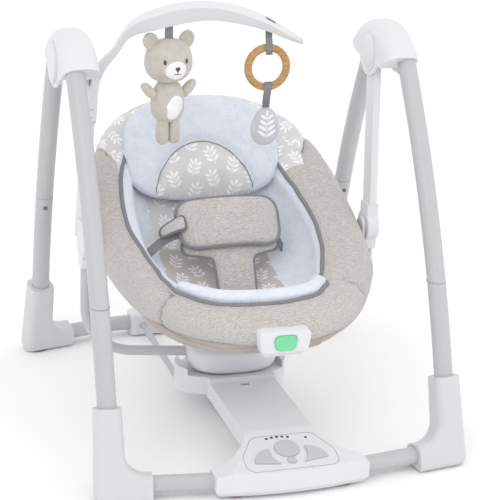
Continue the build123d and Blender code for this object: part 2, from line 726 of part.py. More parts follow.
def dock():
    """Trough under the drive hub, concave about the swing axis, with a wing on each side."""
    mid_y = (DOCK_FRONT_Y + DOCK_BACK_Y) / 2
    deck = block(-SPINE_HALF, SPINE_HALF, DOCK_FRONT_Y, DOCK_BACK_Y, SPINE_LOW_Z, DOCK_HIGH_Z)
    core = block(-DOCK_CORE_HALF, DOCK_CORE_HALF, DOCK_FRONT_Y, DOCK_BACK_Y, FLOOR_CLEARANCE, DOCK_HIGH_Z)
    wing_plan = make_face(oval(DOCK_HALF, (DOCK_BACK_Y - DOCK_FRONT_Y) / 2))
    wings = Pos(0, mid_y, 0) * extrude(wing_plan, DOCK_HIGH_Z)
    wings &= disc_x(-FAR, FAR, PIVOT_Y, PIVOT_Z, 2 * WING_UNDER_R)
    well_half = DRIVE_HUB_HALF + DOCK_SIDE_GAP
    trough = disc_x(-well_half, well_half, PIVOT_Y, PIVOT_Z, 2 * SADDLE_R)
    room_half = DOCK_CORE_HALF - SHELL_WALL
    room = block(-room_half, room_half, DOCK_FRONT_Y + SHELL_WALL, DOCK_BACK_Y - SHELL_WALL, 0, DOCK_HIGH_Z)
    room -= disc_x(-FAR, FAR, PIVOT_Y, PIVOT_Z, 2 * (SADDLE_R + SHELL_WALL))
    return deck + core + wings - trough - room


def build_base():
    """Control base: shells, fascia, buttons and what is inside."""
    low = HOUSING_LOW_Z
    add("base_cover", base_cover())
    tray_plan = base_plan(SHELL_WALL + FIT_GAP + HOUSING_BEVEL_OUT)
    tray = Pos(0, 0, low) * extrude(tray_plan, TRAY_T)
    tray &= block(-FAR, FAR, -FAR, HOUSING_BACK_Y - SHELL_WALL - FIT_GAP, 0, FAR)
    door = block(-DOOR_HALF_W, DOOR_HALF_W, DOOR_FRONT_Y, DOOR_FRONT_Y + DOOR_LENGTH, low, low + TRAY_T)
    door_hole = block(-DOOR_HALF_W - FIT_GAP, DOOR_HALF_W + FIT_GAP, DOOR_FRONT_Y - FIT_GAP,
                      DOOR_FRONT_Y + DOOR_LENGTH + FIT_GAP, 0, low + 2 * TRAY_T)
    add("base_tray", tray - door_hole)
    add("battery_door", door)
    add("dock_saddle", dock())
    panel = extrude(panel_plane(-PANEL_T) * panel_outline(0), PANEL_T)
    holes = panel_buttons(RUN_GAP)
    for outline in holes.values():
        panel -= extrude(panel_plane(0) * outline, 2 * PANEL_T, both=True)
    add("control_panel", panel)
    for name, outline in panel_buttons(0).items():
        cap = extrude(panel_plane(-BUTTON_SKIRT) * outline, BUTTON_SKIRT + BUTTON_PROUD)
        add(name, cap)
    board_half = PANEL_TOP_HALF - SHELL_WALL
    board_face = Pos(0, PANEL_FRONT_GAP + PANEL_LENGTH / 2 + BOARD_BACK) * Rectangle(2 * board_half, BOARD_LENGTH)
    add("circuit_board", extrude(panel_plane(BOARD_LIFT) * board_face, -BOARD_T))
    cells = []
    for number in range(BATTERY_COUNT):
        column = number % 2 - 0.5
        row = number // 2
        centre = Vector(column * (BATTERY_LENGTH + 1), DOOR_FRONT_Y + BATTERY_D * (row + 0.75) + row, 0)
        start = centre + Vector(-BATTERY_LENGTH / 2, 0, low + TRAY_T + BATTERY_D / 2)
        cells.append(disc_x(start.X, start.X + BATTERY_LENGTH, start.Y, start.Z, BATTERY_D))
    add("batteries", *cells)
    coil_top = PIVOT_Z - SADDLE_R - SHELL_WALL - FIT_GAP
    coil = Pos(0, PIVOT_Y, coil_top - COIL_H / 2) * (Cylinder(COIL_D / 2, COIL_H) - Cylinder(COIL_D / 4, COIL_H))
    add("drive_coil", coil)


# Folding rear half of the frame


def knuckle():
    """Right hinge bracket: an eye on the hub's axle and a plug in the rear leg."""
    arc = leg_arc(1, REAR_SOCKET_Y)
    back = arc % 0
    end = arc @ 0 - back * LEG_INSERT
    eye = disc_x(KNUCKLE_FROM_X, KNUCKLE_TO_X, PIVOT_Y, PIVOT_Z, 2 * KNUCKLE_R)
    plug = tube(Line(end, end + back * KNUCKLE_PLUG), TUBE_BORE - 2 * FIT_GAP)
    to_leg = Vector(end.Y - PIVOT_Y, end.Z - PIVOT_Z)
    across = Vector(-to_leg.Y, to_leg.X).normalized() * KNUCKLE_R * 0.6
    root = Vector(PIVOT_Y, PIVOT_Z)
    tip = root + to_leg
    web_outline = Polyline(root + across, tip + across, tip - across, root - across, close=True)
    web = extrude(side_plane(KNUCKLE_FROM_X) * make_face(web_outline), LEG_X - KNUCKLE_FROM_X)
    flange = tube(Line(end - back * KNUCKLE_FLANGE, end), LEG_D - 2 * FIT_GAP)
    web -= tube(Line(end, end + back * KNUCKLE_PLUG), 2 * LEG_D)
    bore = disc_x(0, FAR, PIVOT_Y, PIVOT_Z, AXLE_D + 2 * PIN_CLEARANCE)
    return eye + web + flange + plug - bore


def rear_bar_path(from_x):
    """Centre line of the rear base tube, bowed backwards behind the seat."""
    return FilletPolyline(
        (-from_x, REAR_BAR_END_Y, BAR_Z),
        (-REAR_BAR_BEND_X, REAR_BAR_Y, BAR_Z),
        (REAR_BAR_BEND_X, REAR_BAR_Y, BAR_Z),
        (from_x, REAR_BAR_END_Y, BAR_Z),
        radius=REAR_BAR_R,
    )


def snap_pin(diameter):
    """Spring pin below the seam of the right rear leg, standing out of the tube's front."""
    arc = leg_arc(1, REAR_SOCKET_Y)
    steps = [arc @ (number / 100) for number in range(101)]
    at = min(steps, key=lambda point: abs(point.Z - REAR_SEAM_Z + SNAP_PIN_DROP))
    tip = at - Vector(0, TUBE_R + SNAP_PIN_PROUD, 0)
    return tube(Line(at - Vector(0, TUBE_R / 2, 0), tip), diameter)


def build_rear():
    """Rear half of the frame, which folds forward about the hub axle."""
    upper, lower = leg(1, REAR_SOCKET_Y, REAR_SEAM_Z)
    add_sides("rear_leg", (upper, lower - snap_pin(SNAP_PIN_D + 2 * FIT_GAP)))
    pin = snap_pin(SNAP_PIN_D)
    add("leg_snap_pins", pin, flip(pin))
    add("rear_knuckles", knuckle(), flip(knuckle()))
    bar_from = Vector(LEG_X, REAR_BAR_END_Y, BAR_Z)
    bar_to = Vector(REAR_BAR_BEND_X, REAR_BAR_Y, BAR_Z)
    add_sides("rear_foot", [foot(1, REAR_SOCKET_Y, REAR_FOOT_Y, bar_from, bar_to)])
    pad = foot_pad(REAR_FOOT_Y)
    add("rear_foot_pads", pad, flip(pad))
    bar = tube(rear_bar_path(LEG_X), BAR_D, BAR_D - 2 * TUBE_WALL)
    add("rear_base_tube", bar)
    front_y = REAR_REACH - REAR_HOUSING_DEPTH
    casing = block(-REAR_HOUSING_HALF, REAR_HOUSING_HALF, front_y, REAR_REACH, FLOOR_CLEARANCE,
                   FLOOR_CLEARANCE + REAR_HOUSING_H)
    casing = fillet(casing.edges().filter_by(Axis.Z) + casing.edges().group_by(Axis.Z)[-1], REAR_HOUSING_ROUND)
    casing -= tube(rear_bar_path(LEG_X), BAR_D + 2 * FIT_GAP)
    rod_line = Line((ROD_X, ROD_FRONT_Y, ROD_Z), (ROD_X, front_y + ROD_INSERT, ROD_Z))
    rod = tube(rod_line, ROD_D)
    socket_line = Line((ROD_X, front_y - 1, ROD_Z), (ROD_X, front_y + ROD_INSERT + FIT_GAP, ROD_Z))
    socket = tube(socket_line, ROD_D + 2 * FIT_GAP)
    add("rear_housing", casing - socket - flip(socket))
    add("link_rods", rod, flip(rod))


# Swinging frame


def swing_arm():
    """Right swing arm: an eye on the axle, a flat blade and a lobe that holds seat and tube."""
    foot_at = Vector(ARM_FOOT_Y, ARM_FOOT_Z)
    top_at = Vector(PIVOT_Y, PIVOT_Z)
    along = (foot_at - top_at).normalized()
    across = Vector(-along.Y, along.X) * (ARM_BLADE_W / 2)
    blade = make_face(Polyline(top_at + across, foot_at + across, foot_at - across, top_at - across, close=True))
    outline = blade + Pos(PIVOT_Y, PIVOT_Z) * Circle(ARM_EYE_R)
    arm = extrude(side_plane(ARM_INNER_X) * outline, ARM_T)
    lobe_face = Pos(ARM_FOOT_Y, ARM_FOOT_Z) * Circle(ARM_LOBE_R)
    lobe_face += Pos(ARM_FOOT_Y, ARM_FOOT_Z - ARM_LOBE_R) * Rectangle(ARM_SOCKET_W, ARM_LOBE_R)
    lobe_face += Pos(ARM_FOOT_Y, ARM_FOOT_Z + ARM_LOBE_R) * Rectangle(ARM_BLADE_W, ARM_LOBE_R)
    lobe = extrude(side_plane(LOBE_FROM_X) * lobe_face, LOBE_TO_X - LOBE_FROM_X)
    arm += fillet(lobe.edges().group_by(Axis.X)[-1], LOBE_ROUND)
    arm -= disc_x(0, FAR, PIVOT_Y, PIVOT_Z, AXLE_D + 2 * PIN_CLEARANCE)
    arm -= disc_x(0, LOBE_TO_X - LOBE_ROUND, RECLINE_Y, RECLINE_Z, RECLINE_PIN_D + 2 * PIN_CLEARANCE)
    return arm - tube(Line(SUPPORT_TOP, SUPPORT_CORNER), SUPPORT_TUBE_D + 2 * FIT_GAP)


def drive_hub():
    """Hub under the seat that joins the support tubes and carries the magnet."""
    plan = rounded(
        [
            (-DRIVE_HUB_HALF, DRIVE_HUB_BACK_Y),
            (-DRIVE_HUB_HALF, DRIVE_HUB_SIDE_Y),
            (-DRIVE_HUB_NOSE, DRIVE_HUB_FRONT_Y),
            (DRIVE_HUB_NOSE, DRIVE_HUB_FRONT_Y),
            (DRIVE_HUB_HALF, DRIVE_HUB_SIDE_Y),
            (DRIVE_HUB_HALF, DRIVE_HUB_BACK_Y),
        ],
        DRIVE_HUB_CORNER,
    )
    body = extrude(plan, DRIVE_HUB_TOP_Z)
    body = fillet(body.edges().group_by(Axis.Z)[-1], DRIVE_HUB_ROUND)
    return body & disc_x(-FAR, FAR, PIVOT_Y, PIVOT_Z, 2 * DRIVE_HUB_R)


def build_swing():
    """Arms, support tube, drive hub and magnet."""
    add_sides("swing_arm", [swing_arm()])
    hub = drive_hub()
    runs = []
    for sign in (1, -1):
        ends = [SUPPORT_TOP, SUPPORT_CORNER, SUPPORT_ENTRY]
        ends = [Vector(sign * end.X, end.Y, end.Z) for end in ends]
        runs.append(FilletPolyline(*ends, radius=SUPPORT_BEND))
    for run in runs:
        hub -= tube(run, SUPPORT_TUBE_D + 2 * FIT_GAP)
    magnet_z = PIVOT_Z - DRIVE_HUB_R + SHELL_WALL
    pocket = Pos(0, PIVOT_Y, magnet_z + MAGNET_H / 2) * Cylinder(MAGNET_D / 2 + FIT_GAP, MAGNET_H + 2 * FIT_GAP)
    add("drive_hub", hub - pocket)
    add("drive_magnet", Pos(0, PIVOT_Y, magnet_z + MAGNET_H / 2) * Cylinder(MAGNET_D / 2, MAGNET_H))
    add("support_tubes", *[tube(run, SUPPORT_TUBE_D, SUPPORT_TUBE_D - 2 * TUBE_WALL) for run in runs])


# Seat


def rim_frame(s):
    """Point, direction and upward normal of the rim's arc at a length from the foot end."""
    angle = math.radians(RIM_FOOT_TILT) + s / RIM_R
    point = Vector(0, RIM_CENTRE_Y + RIM_R * math.sin(angle), RIM_CENTRE_Z - RIM_R * math.cos(angle))
    return point, Vector(0, math.cos(angle), math.sin(angle)), Vector(0, -math.sin(angle), math.cos(angle))


def oval_half(s, half_w, half_l):
    """Half width of a rim-like oval at a length along the seat."""
    u = min(abs(s - RIM_HALF_L) / half_l, 1.0)
    square = RIM_HEAD_SQUARE if s > RIM_HALF_L else RIM_SQUARE
    lean = 1 - RIM_TAPER * (s - RIM_HALF_L) / half_l
    return half_w * (1 - u**square) ** (1 / square) * lean


def rim_at(degrees):
    """Place on the rim's oval: across the seat and along it."""
    c = math.cos(math.radians(degrees))
    s = math.sin(math.radians(degrees))
    power = 2 / (RIM_HEAD_SQUARE if s > 0 else RIM_SQUARE)
    across = RIM_HALF_W * math.copysign(abs(c) ** power, c) * (1 - RIM_TAPER * s)
    return across, RIM_HALF_L * (1 + math.copysign(abs(s) ** power, s))


def bolster_section(degrees, half_w):
    """Oval section of the padded rim, square to the rim."""
    x, s = rim_at(degrees)
    x0, s0 = rim_at(degrees - 1)
    x1, s1 = rim_at(degrees + 1)
    point, along, up = rim_frame(s)
    way = (Vector(x1 - x0, 0, 0) + along * (s1 - s0)).normalized()
    plane = Plane(point + Vector(x, 0, 0), x_dir=way.cross(up), z_dir=way)
    return plane * make_face(oval(half_w, BOLSTER_THICK))


def bolster(from_degrees, to_degrees, count, end_w, mid_w):
    """A length of padded rim that swells between its two seams."""
    sections = []
    for number in range(count):
        t = number / (count - 1)
        swell = math.sin(math.pi * t)
        sections.append(bolster_section(from_degrees + (to_degrees - from_degrees) * t,
                                        end_w + (mid_w - end_w) * swell))
    return loft(sections)


def bowl_depth(s):
    """Depth of the seat's plastic pan below the rim line."""
    share = max(math.sin(math.pi * (s + PAN_LEAD) / PAN_SPAN), 0.02)
    return PAN_LIP_DEPTH + PAN_SWELL * share**0.8


def bowl_section(s, half_w, top, depth):
    """Closed section of the seat bowl, square to the rim's arc."""
    point, along, up = rim_frame(s)
    plane = Plane(point, x_dir=(1, 0, 0), z_dir=along)
    fall = depth + top
    knee = half_w * 0.55
    low = -top + fall * 0.93
    side = half_w * 0.88
    mid = -top + fall * 0.62
    wire = Wire(
        [
            Line((-half_w, -top), (half_w, -top)),
            ThreePointArc((half_w, -top), (side, mid), (knee, low)),
            ThreePointArc((knee, low), (0, depth), (-knee, low)),
            ThreePointArc((-knee, low), (-side, mid), (-half_w, -top)),
        ]
    )
    return plane * make_face(wire)


def bowl(stations, half_w, half_l, top, shrink, lift):
    """A bowl-shaped solid through sections along the seat, narrowed and lifted off the pan's form."""
    sections = []
    for s in stations:
        half = oval_half(s, half_w, half_l) - shrink
        sections.append(bowl_section(s, half, top, bowl_depth(s) - lift))
    return loft(sections)


def pan_form(grow):
    """The seat pan's outer form, filled."""
    return bowl(stations(PAN_FIRST, PAN_LAST, 8), RIM_HALF_W, PAN_HALF_L, PAN_TOP, -grow, -grow)


def stations(first, last, count):
    """Evenly spaced lengths along the seat."""
    return [first + (last - first) * number / (count - 1) for number in range(count)]


def seat_bracket(side, y, half_y, z_from, z_to, x_to):
    """Bracket that reaches from the pan, under the padded rim, to the seat's side."""
    x_from = side * (RIM_HALF_W - BOLSTER_SIDE)
    low, high = sorted((x_from, x_to))
    return block(low, high, y - half_y, y + half_y, z_from, z_to)


def tilted(y, z, tilt):
    """A plane across the seat whose Y climbs backwards at an angle."""
    angle = math.radians(tilt)
    return Plane((0, y, z), x_dir=(1, 0, 0), z_dir=(0, -math.sin(angle), math.cos(angle)))


def padded(half_w, half_l, thickness, place):
    """A flat pad with round corners, a crown and drawn-in sides."""
    faces = []
    for height, inset in ((-0.5, 0.5), (-0.2, 0.0), (0.2, 0.0), (0.5, 0.5)):
        w = half_w - inset * thickness
        h = half_l - inset * thickness
        outline = rounded([(-w, -h), (w, -h), (w, h), (-w, h)], h * PAD_ROUND)
        faces.append(place * (Pos(0, 0, height * thickness) * outline))
    return loft(faces)


def head_pillow():
    """Plump head pillow, bent to lie in the head end, lofted from side to side."""
    angle = math.radians(PILLOW_TILT)
    sections = []
    for number in range(PILLOW_SECTIONS):
        turn = math.pi * (number + 0.4) / (PILLOW_SECTIONS - 0.2)
        share = -math.cos(turn)
        swell = math.sin(turn)
        centre = (PILLOW_HALF_W * share, PILLOW_Y - PILLOW_BEND * share**2, PILLOW_Z)
        plane = Plane(centre, x_dir=(0, math.cos(angle), math.sin(angle)), z_dir=(1, 0, 0))
        sections.append(plane * make_face(oval(PILLOW_HALF_L * swell**0.8, PILLOW_T / 2 * swell**0.6)))
    return loft(sections)


def crotch_pad():
    """T-shaped pad between the legs, with drawn-in edges."""
    place = tilted(CROTCH_Y, CROTCH_Z, CROTCH_TILT)
    half = CROTCH_HALF_W
    outline = [
        (-half, -CROTCH_STEM),
        (half, -CROTCH_STEM),
        (half, 0),
        (CROTCH_WING, CROTCH_WING_V),
        (CROTCH_WING, CROTCH_TOP),
        (-CROTCH_WING, CROTCH_TOP),
        (-CROTCH_WING, CROTCH_WING_V),
        (-half, 0),
    ]
    pad = extrude(place * rounded(outline, CROTCH_CORNER), CROTCH_T)
    return fillet(pad.faces().sort_by(SortBy.AREA)[-2:].edges(), CROTCH_T / 3)


def waist_strap():
    """Right waist strap, from under the waist pad down to the liner's side."""
    pad = tilted(WAIST_Y, WAIST_Z, WAIST_TILT)
    edge = pad.origin + pad.y_dir * (STRAP_V - STRAP_W / 2)
    start = WAIST_HALF_W / 2
    top = WAIST_T / 2 + FIT_GAP
    outline = Polyline(
        (start, top),
        (WAIST_HALF_W, top),
        (STRAP_END_X, top + STRAP_FALL),
        (STRAP_END_X, top + STRAP_FALL + STRAP_T),
        (WAIST_HALF_W, top + STRAP_T),
        (start, top + STRAP_T),
        close=True,
    )
    return extrude(Plane(edge, x_dir=(1, 0, 0), z_dir=pad.y_dir) * make_face(outline), STRAP_W)


def vibration_housing():
    """Vibration unit on the front of the pan, with a neck under the padded rim."""
    front = VIB_Y - VIB_DEPTH
    outline = rounded(
        [
            (-VIB_HALF_W, VIB_Z + VIB_H),
            (VIB_HALF_W, VIB_Z + VIB_H),
            (VIB_HALF_W - VIB_TAPER, VIB_Z),
            (-VIB_HALF_W + VIB_TAPER, VIB_Z),
        ],
        VIB_CORNER,
    )
    body = extrude(Plane((0, VIB_Y, 0), x_dir=(1, 0, 0), z_dir=(0, -1, 0)) * outline, VIB_DEPTH)
    body = fillet(body.edges().group_by(Axis.Y)[0], VIB_ROUND)
    neck_top = VIB_Z - VIB_NECK_DROP
    neck = block(-VIB_NECK_HALF, VIB_NECK_HALF, VIB_Y - VIB_DEPTH / 2, VIB_NECK_BACK, neck_top - VIB_NECK_T, neck_top)
    neck += block(-VIB_NECK_HALF, VIB_NECK_HALF, VIB_Y - VIB_DEPTH / 2, VIB_Y,
                  neck_top - VIB_NECK_T, VIB_Z + VIB_ROUND)
    face = Plane((0, front, 0), x_dir=(1, 0, 0), z_dir=(0, 1, 0))
    hole = extrude(face * vib_button_outline(RUN_GAP, -1), VIB_POCKET)
    return body + (neck - pan_form(0)) - hole


def vib_button_outline(grow, turn=1):
    """Rounded trapezoid of the vibration button."""
    half = VIB_BUTTON_HALF_W + grow
    low = VIB_Z + (VIB_H - VIB_BUTTON_H) / 2 - grow
    high = low + VIB_BUTTON_H + 2 * grow
    taper = VIB_TAPER
    corners = [(-half, high), (half, high), (half - taper, low), (-half + taper, low)]
    return rounded([(x, turn * z) for x, z in corners], VIB_CORNER)


def build_seat():
    """Pan, padded rim, liner, pillow, harness and vibration unit."""
    front_seam = SIDE_FROM_DEG
    head_seam = SIDE_TO_DEG
    side = bolster(front_seam, head_seam, 6, BOLSTER_SEAM, BOLSTER_SIDE)
    add_sides("side_bolster", [side])
    front = bolster(-180 - front_seam, front_seam, 7, BOLSTER_SEAM, BOLSTER_FRONT)
    head = bolster(head_seam, 180 - head_seam, 7, BOLSTER_SEAM, BOLSTER_HEAD)
    notch_half = VIB_HALF_W + FIT_GAP
    notch_top = VIB_Z + VIB_H + FIT_GAP
    front -= block(-notch_half, notch_half, -FAR, VIB_Y + FIT_GAP, 0, notch_top)
    add("front_bolster", front)
    add("head_bolster", head)
    pan = pan_form(0)
    hollow = bowl(stations(PAN_FIRST + PAN_WALL, PAN_LAST - PAN_WALL, 8), RIM_HALF_W, PAN_HALF_L,
                  PAN_TOP + PAN_WALL, PAN_WALL, PAN_WALL)
    fittings = []
    for sign in (1, -1):
        plate_x = sign * BRACKET_X
        fittings.append(seat_bracket(sign, RECLINE_Y, BRACKET_HALF_Y, BRACKET_Z, BRACKET_Z + BRACKET_T, plate_x))
        low, high = sorted((plate_x, plate_x - sign * BRACKET_T))
        ear = block(low, high, RECLINE_Y - BRACKET_HALF_Y, RECLINE_Y + BRACKET_HALF_Y, BRACKET_Z, RECLINE_Z)
        ear += disc_x(low, high, RECLINE_Y, RECLINE_Z, 2 * BRACKET_HALF_Y)
        pin_low, pin_high = sorted((plate_x, sign * (LOBE_TO_X - LOBE_ROUND - FIT_GAP)))
        fittings.append(ear + disc_x(pin_low, pin_high, RECLINE_Y, RECLINE_Z, RECLINE_PIN_D))
    shell = pan
    for fitting in fittings:
        shell += fitting
    add("seat_pan", shell - hollow)
    liner = bowl(stations(LINER_FIRST, LINER_LAST, 7), LINER_HALF_W, LINER_HALF_L, LINER_TOP, LINER_SEAT, LINER_SEAT)
    room = bowl(stations(LINER_FIRST + LINER_T, LINER_LAST - LINER_T, 7), LINER_HALF_W, LINER_HALF_L,
                LINER_TOP + LINER_T, LINER_SEAT + LINER_T, LINER_SEAT + LINER_FLOOR)
    pillow = head_pillow() - head - side - flip(side)
    liner = liner - room - front - head - side - flip(side) - pillow
    add("head_pillow", pillow)
    add("seat_liner", liner)
    add("waist_pad", padded(WAIST_HALF_W, WAIST_HALF_L, WAIST_T, tilted(WAIST_Y, WAIST_Z, WAIST_TILT)))
    add("crotch_pad", crotch_pad() - liner)
    strap = waist_strap()
    add("waist_straps", strap - liner, flip(strap) - liner)
    add("vibration_housing", vibration_housing())
    face = Plane((0, VIB_Y - VIB_DEPTH - BUTTON_PROUD, 0), x_dir=(1, 0, 0), z_dir=(0, 1, 0))
    add("vibration_button", extrude(face * vib_button_outline(0, -1), VIB_POCKET - BUTTON_TRAVEL))


# Toy bar and toys


def post_axis():
    """Leaning axis that the toy bar turns about."""
    return Vector(POST_X, POST_Y, POST_FOOT_Z), Vector(POST_TOP_X, POST_Y, POST_TOP_Z)


def bar_path():
    """Centre line of the toy bar, starting along the post."""
    low, high = post_axis()
    up = (high - low).normalized()
    points = [high + up * RUN_GAP] + [Vector(x, POST_Y, z) for x, z in BAR_POINTS]
    return Spline(*points, tangents=(up, (points[-1] - points[-2]).normalized()))


def bar_halves(t):
    """Half width and half thickness of the toy bar at a share of its length."""
    swell = math.sin(math.pi * t**0.8) ** 0.8
    taper = BAR_TIP_HALF + (1 - t) * (POST_D / 2 - BAR_TIP_HALF)
    return taper + swell * BAR_SWELL, taper + swell * BAR_DEEPEN


def toy_bar():
    """One-sided arched bar: a round stem that widens into a flat band and tapers to a tip."""
    path = bar_path()
    sections = []
    for number in range(BAR_SECTIONS):
        t = number / (BAR_SECTIONS - 1)
        half_y, half_t = bar_halves(t)
        plane = Plane(path @ t, x_dir=(0, 1, 0), z_dir=path % t)
        corners = [(-half_y, -half_t), (half_y, -half_t), (half_y, half_t), (-half_y, half_t)]
        sections.append(plane * rounded(corners, min(half_y, half_t) * 0.6))
    return loft(sections)


def bar_under(x):
    """Lowest height of the toy bar's underside over a strap at a place across."""
    path = bar_path()
    lowest = PIVOT_Z + HUB_FAR
    for number in range(401):
        t = number / 400
        at = path @ t
        way = path % t
        under = at - Vector(-way.Z, 0, way.X) * bar_halves(t)[1]
        if abs(under.X - x) <= TOY_STRAP_W / 2 + 1 and way.X > 0.3:
            lowest = min(lowest, under.Z)
    return lowest - RUN_GAP


def strap_down(x, z_top, length):
    """A short hanging strap."""
    return block(x - TOY_STRAP_W / 2, x + TOY_STRAP_W / 2, POST_Y - TOY_STRAP_T / 2, POST_Y + TOY_STRAP_T / 2,
                 z_top - length, z_top)


def plush(x, z, levels, turn=0.0):
    """A stuffed shape along its own length, turned about the view direction."""
    place = Pos(x, POST_Y, z) * Rot(0, turn, 0)
    return loft([place * (Pos(0, 0, h) * make_face(oval(w, d))) for h, w, d in levels])


def build_toys():
    """Toy bar with its post, the bear, the ring and the leaf."""
    low, high = post_axis()
    post = tube(Line(low, high), POST_D)
    arm = block(POST_X, -RIM_HALF_W + BOLSTER_SIDE, POST_Y - POST_D / 2, POST_Y + POST_D / 2,
                POST_FOOT_Z - POST_D / 2, POST_FOOT_Z + POST_ARM_RISE)
    add("toy_bar_socket", arm - pan_form(0) - nodes["side_bolster_left"] + post)
    add("toy_bar", toy_bar())
    # Bear
    strap_top = bar_under(BEAR_X)
    head_top = strap_top - BEAR_STRAP_L
    add("bear_strap", strap_down(BEAR_X, strap_top, BEAR_STRAP_L))
    head_z = head_top - BEAR_HEAD_H
    body_z = head_z - BEAR_BODY_H
    head = plush(BEAR_X, head_z, BEAR_HEAD_LEVELS)
    body = plush(BEAR_X, body_z, BEAR_BODY_LEVELS)
    add("bear_head", head)
    add("bear_body", body - head)
    ears = []
    limbs = []
    for side in (1, -1):
        ear = plush(BEAR_X + side * BEAR_EAR_OUT, head_z + BEAR_EAR_UP, BEAR_EAR_LEVELS, side * BEAR_EAR_TURN)
        ears.append(ear - head)
        arm = plush(BEAR_X + side * BEAR_ARM_OUT, head_z - BEAR_ARM_DOWN, BEAR_ARM_LEVELS, side * BEAR_ARM_TURN)
        limbs.append(arm - head - body)
        leg = plush(BEAR_X + side * BEAR_LEG_OUT, body_z - BEAR_LEG_DOWN, BEAR_LEG_LEVELS)
        limbs.append(leg - body)
    add("bear_ears", *ears)
    add("bear_limbs", *limbs)
    # Ring and leaf
    ring_strap_top = bar_under(RING_X)
    ring_z = ring_strap_top - RING_STRAP_L - RING_D / 2
    front = Plane((RING_X, POST_Y + RING_T / 2, ring_z), x_dir=(1, 0, 0), z_dir=(0, -1, 0))
    ring = extrude(front * (Circle(RING_D / 2) - Circle(RING_D / 2 - RING_BAND)), RING_T)
    ring = fillet(ring.edges(), RING_T / 4)
    add("toy_ring", ring)
    upper = strap_down(RING_X, ring_strap_top, RING_STRAP_L - FIT_GAP)
    lower_top = ring_z - RING_D / 2 - FIT_GAP
    lower = strap_down(RING_X, lower_top, LEAF_STRAP_L)
    add("ring_straps", upper, lower)
    leaf_top = lower_top - LEAF_STRAP_L - LEAF_TOP_GAP
    add("leaf_pendant", plush(RING_X, leaf_top - LEAF_H, LEAF_LEVELS))


def main():
    """Build every node and write its file."""
    os.makedirs("parts", exist_ok=True)
    build_frame()
    build_base()
    build_rear()
    build_swing()
    build_seat()
    build_toys()
    for name, shape in nodes.items():
        export_step(shape, f"parts/{name}.step")
    print(len(nodes), "nodes")


main()
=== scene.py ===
import json
from math import atan2, copysign, cos, exp, hypot, pi, radians, sin, tan

import bmesh
import bpy
import numpy as np
from mathutils import Matrix, Vector, noise


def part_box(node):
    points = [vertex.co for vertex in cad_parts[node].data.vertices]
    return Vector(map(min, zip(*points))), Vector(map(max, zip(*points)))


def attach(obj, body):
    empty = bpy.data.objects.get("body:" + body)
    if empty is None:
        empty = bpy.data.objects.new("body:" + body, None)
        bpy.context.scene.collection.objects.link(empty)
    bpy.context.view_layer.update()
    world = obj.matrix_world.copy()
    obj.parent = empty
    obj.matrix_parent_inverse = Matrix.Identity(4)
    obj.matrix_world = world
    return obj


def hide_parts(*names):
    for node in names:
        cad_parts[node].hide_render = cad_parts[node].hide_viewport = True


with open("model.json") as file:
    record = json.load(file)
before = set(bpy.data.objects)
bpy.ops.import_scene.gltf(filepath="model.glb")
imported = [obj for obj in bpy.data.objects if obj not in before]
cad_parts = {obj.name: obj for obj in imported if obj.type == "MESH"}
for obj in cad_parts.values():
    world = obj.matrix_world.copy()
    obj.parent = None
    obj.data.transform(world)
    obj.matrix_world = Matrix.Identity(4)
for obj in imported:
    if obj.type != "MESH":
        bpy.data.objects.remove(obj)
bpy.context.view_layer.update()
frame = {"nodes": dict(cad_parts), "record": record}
nodes = frame["nodes"]

# Camera and light
CAMERA_TARGET = Vector((0.01715, -0.027, 0.27224))
CAMERA_AZIMUTH = radians(-18.09)
CAMERA_ELEVATION = radians(19.57)
CAMERA_DISTANCE = 2.66955
CAMERA_ROLL = radians(2.22)
CAMERA_LENS = 121.9
WORLD_LEVEL = 1.02
KEY_POWER = 18.0
FILL_POWER = 8.0

# Seat rim, in metres
RIM_R = 0.800
RIM_FOOT_Y = -0.203
RIM_FOOT_Z = 0.222
RIM_TILT = radians(5.4)
RIM_HALF_W = 0.182
RIM_HALF_L = 0.253
RIM_TAPER = 0.05
RIM_SQUARE = 2.25
RIM_HEAD_SQUARE = 2.8
BOLSTER_END = 0.035
BOLSTER_SIDE = 0.036
BOLSTER_FRONT = 0.048
BOLSTER_HEAD = 0.031
BOLSTER_HALF_T = 0.027
SIDE_FROM = -46.0
SIDE_TO = 34.0


BACKWARDS = Vector((0, 1, 0))


# Small mesh helpers

def bent(value, power):
    """A value raised to a power, with its sign kept."""
    return copysign(abs(value) ** power, value)


def turns(count):
    """Evenly spaced angles of one full turn."""
    return [2 * pi * j / count for j in range(count)]


def at_share(value, share):
    """A plain value, or a changing one at a share of the length."""
    return value(share) if callable(value) else value


def mesh_object(name, verts, faces, materials, smooth=True):
    mesh = bpy.data.meshes.new(name)
    mesh.from_pydata([tuple(v) for v in verts], [], faces)
    mesh.validate()
    obj = bpy.data.objects.new(name, mesh)
    bpy.context.scene.collection.objects.link(obj)
    for mat in materials:
        mesh.materials.append(mat)
    if smooth:
        mesh.polygons.foreach_set("use_smooth", [True] * len(mesh.polygons))
    mesh.update()
    return obj


def fix_normals(obj, merge=None):
    """Turns the faces outwards, after joining points that are closer than merge."""
    bm = bmesh.new()
    bm.from_mesh(obj.data)
    if merge:
        bmesh.ops.remove_doubles(bm, verts=bm.verts, dist=merge)
    bmesh.ops.recalc_face_normals(bm, faces=bm.faces)
    bm.to_mesh(obj.data)
    bm.free()
    obj.data.update()
    return obj


def band_faces(rows, count, start=0):
    """Four-sided faces between rows of points that close around."""
    faces = []
    for i in range(rows):
        a = start + i * count
        b = a + count
        for j in range(count):
            k = (j + 1) % count
            faces.append((a + j, a + k, b + k, b + j))
    return faces


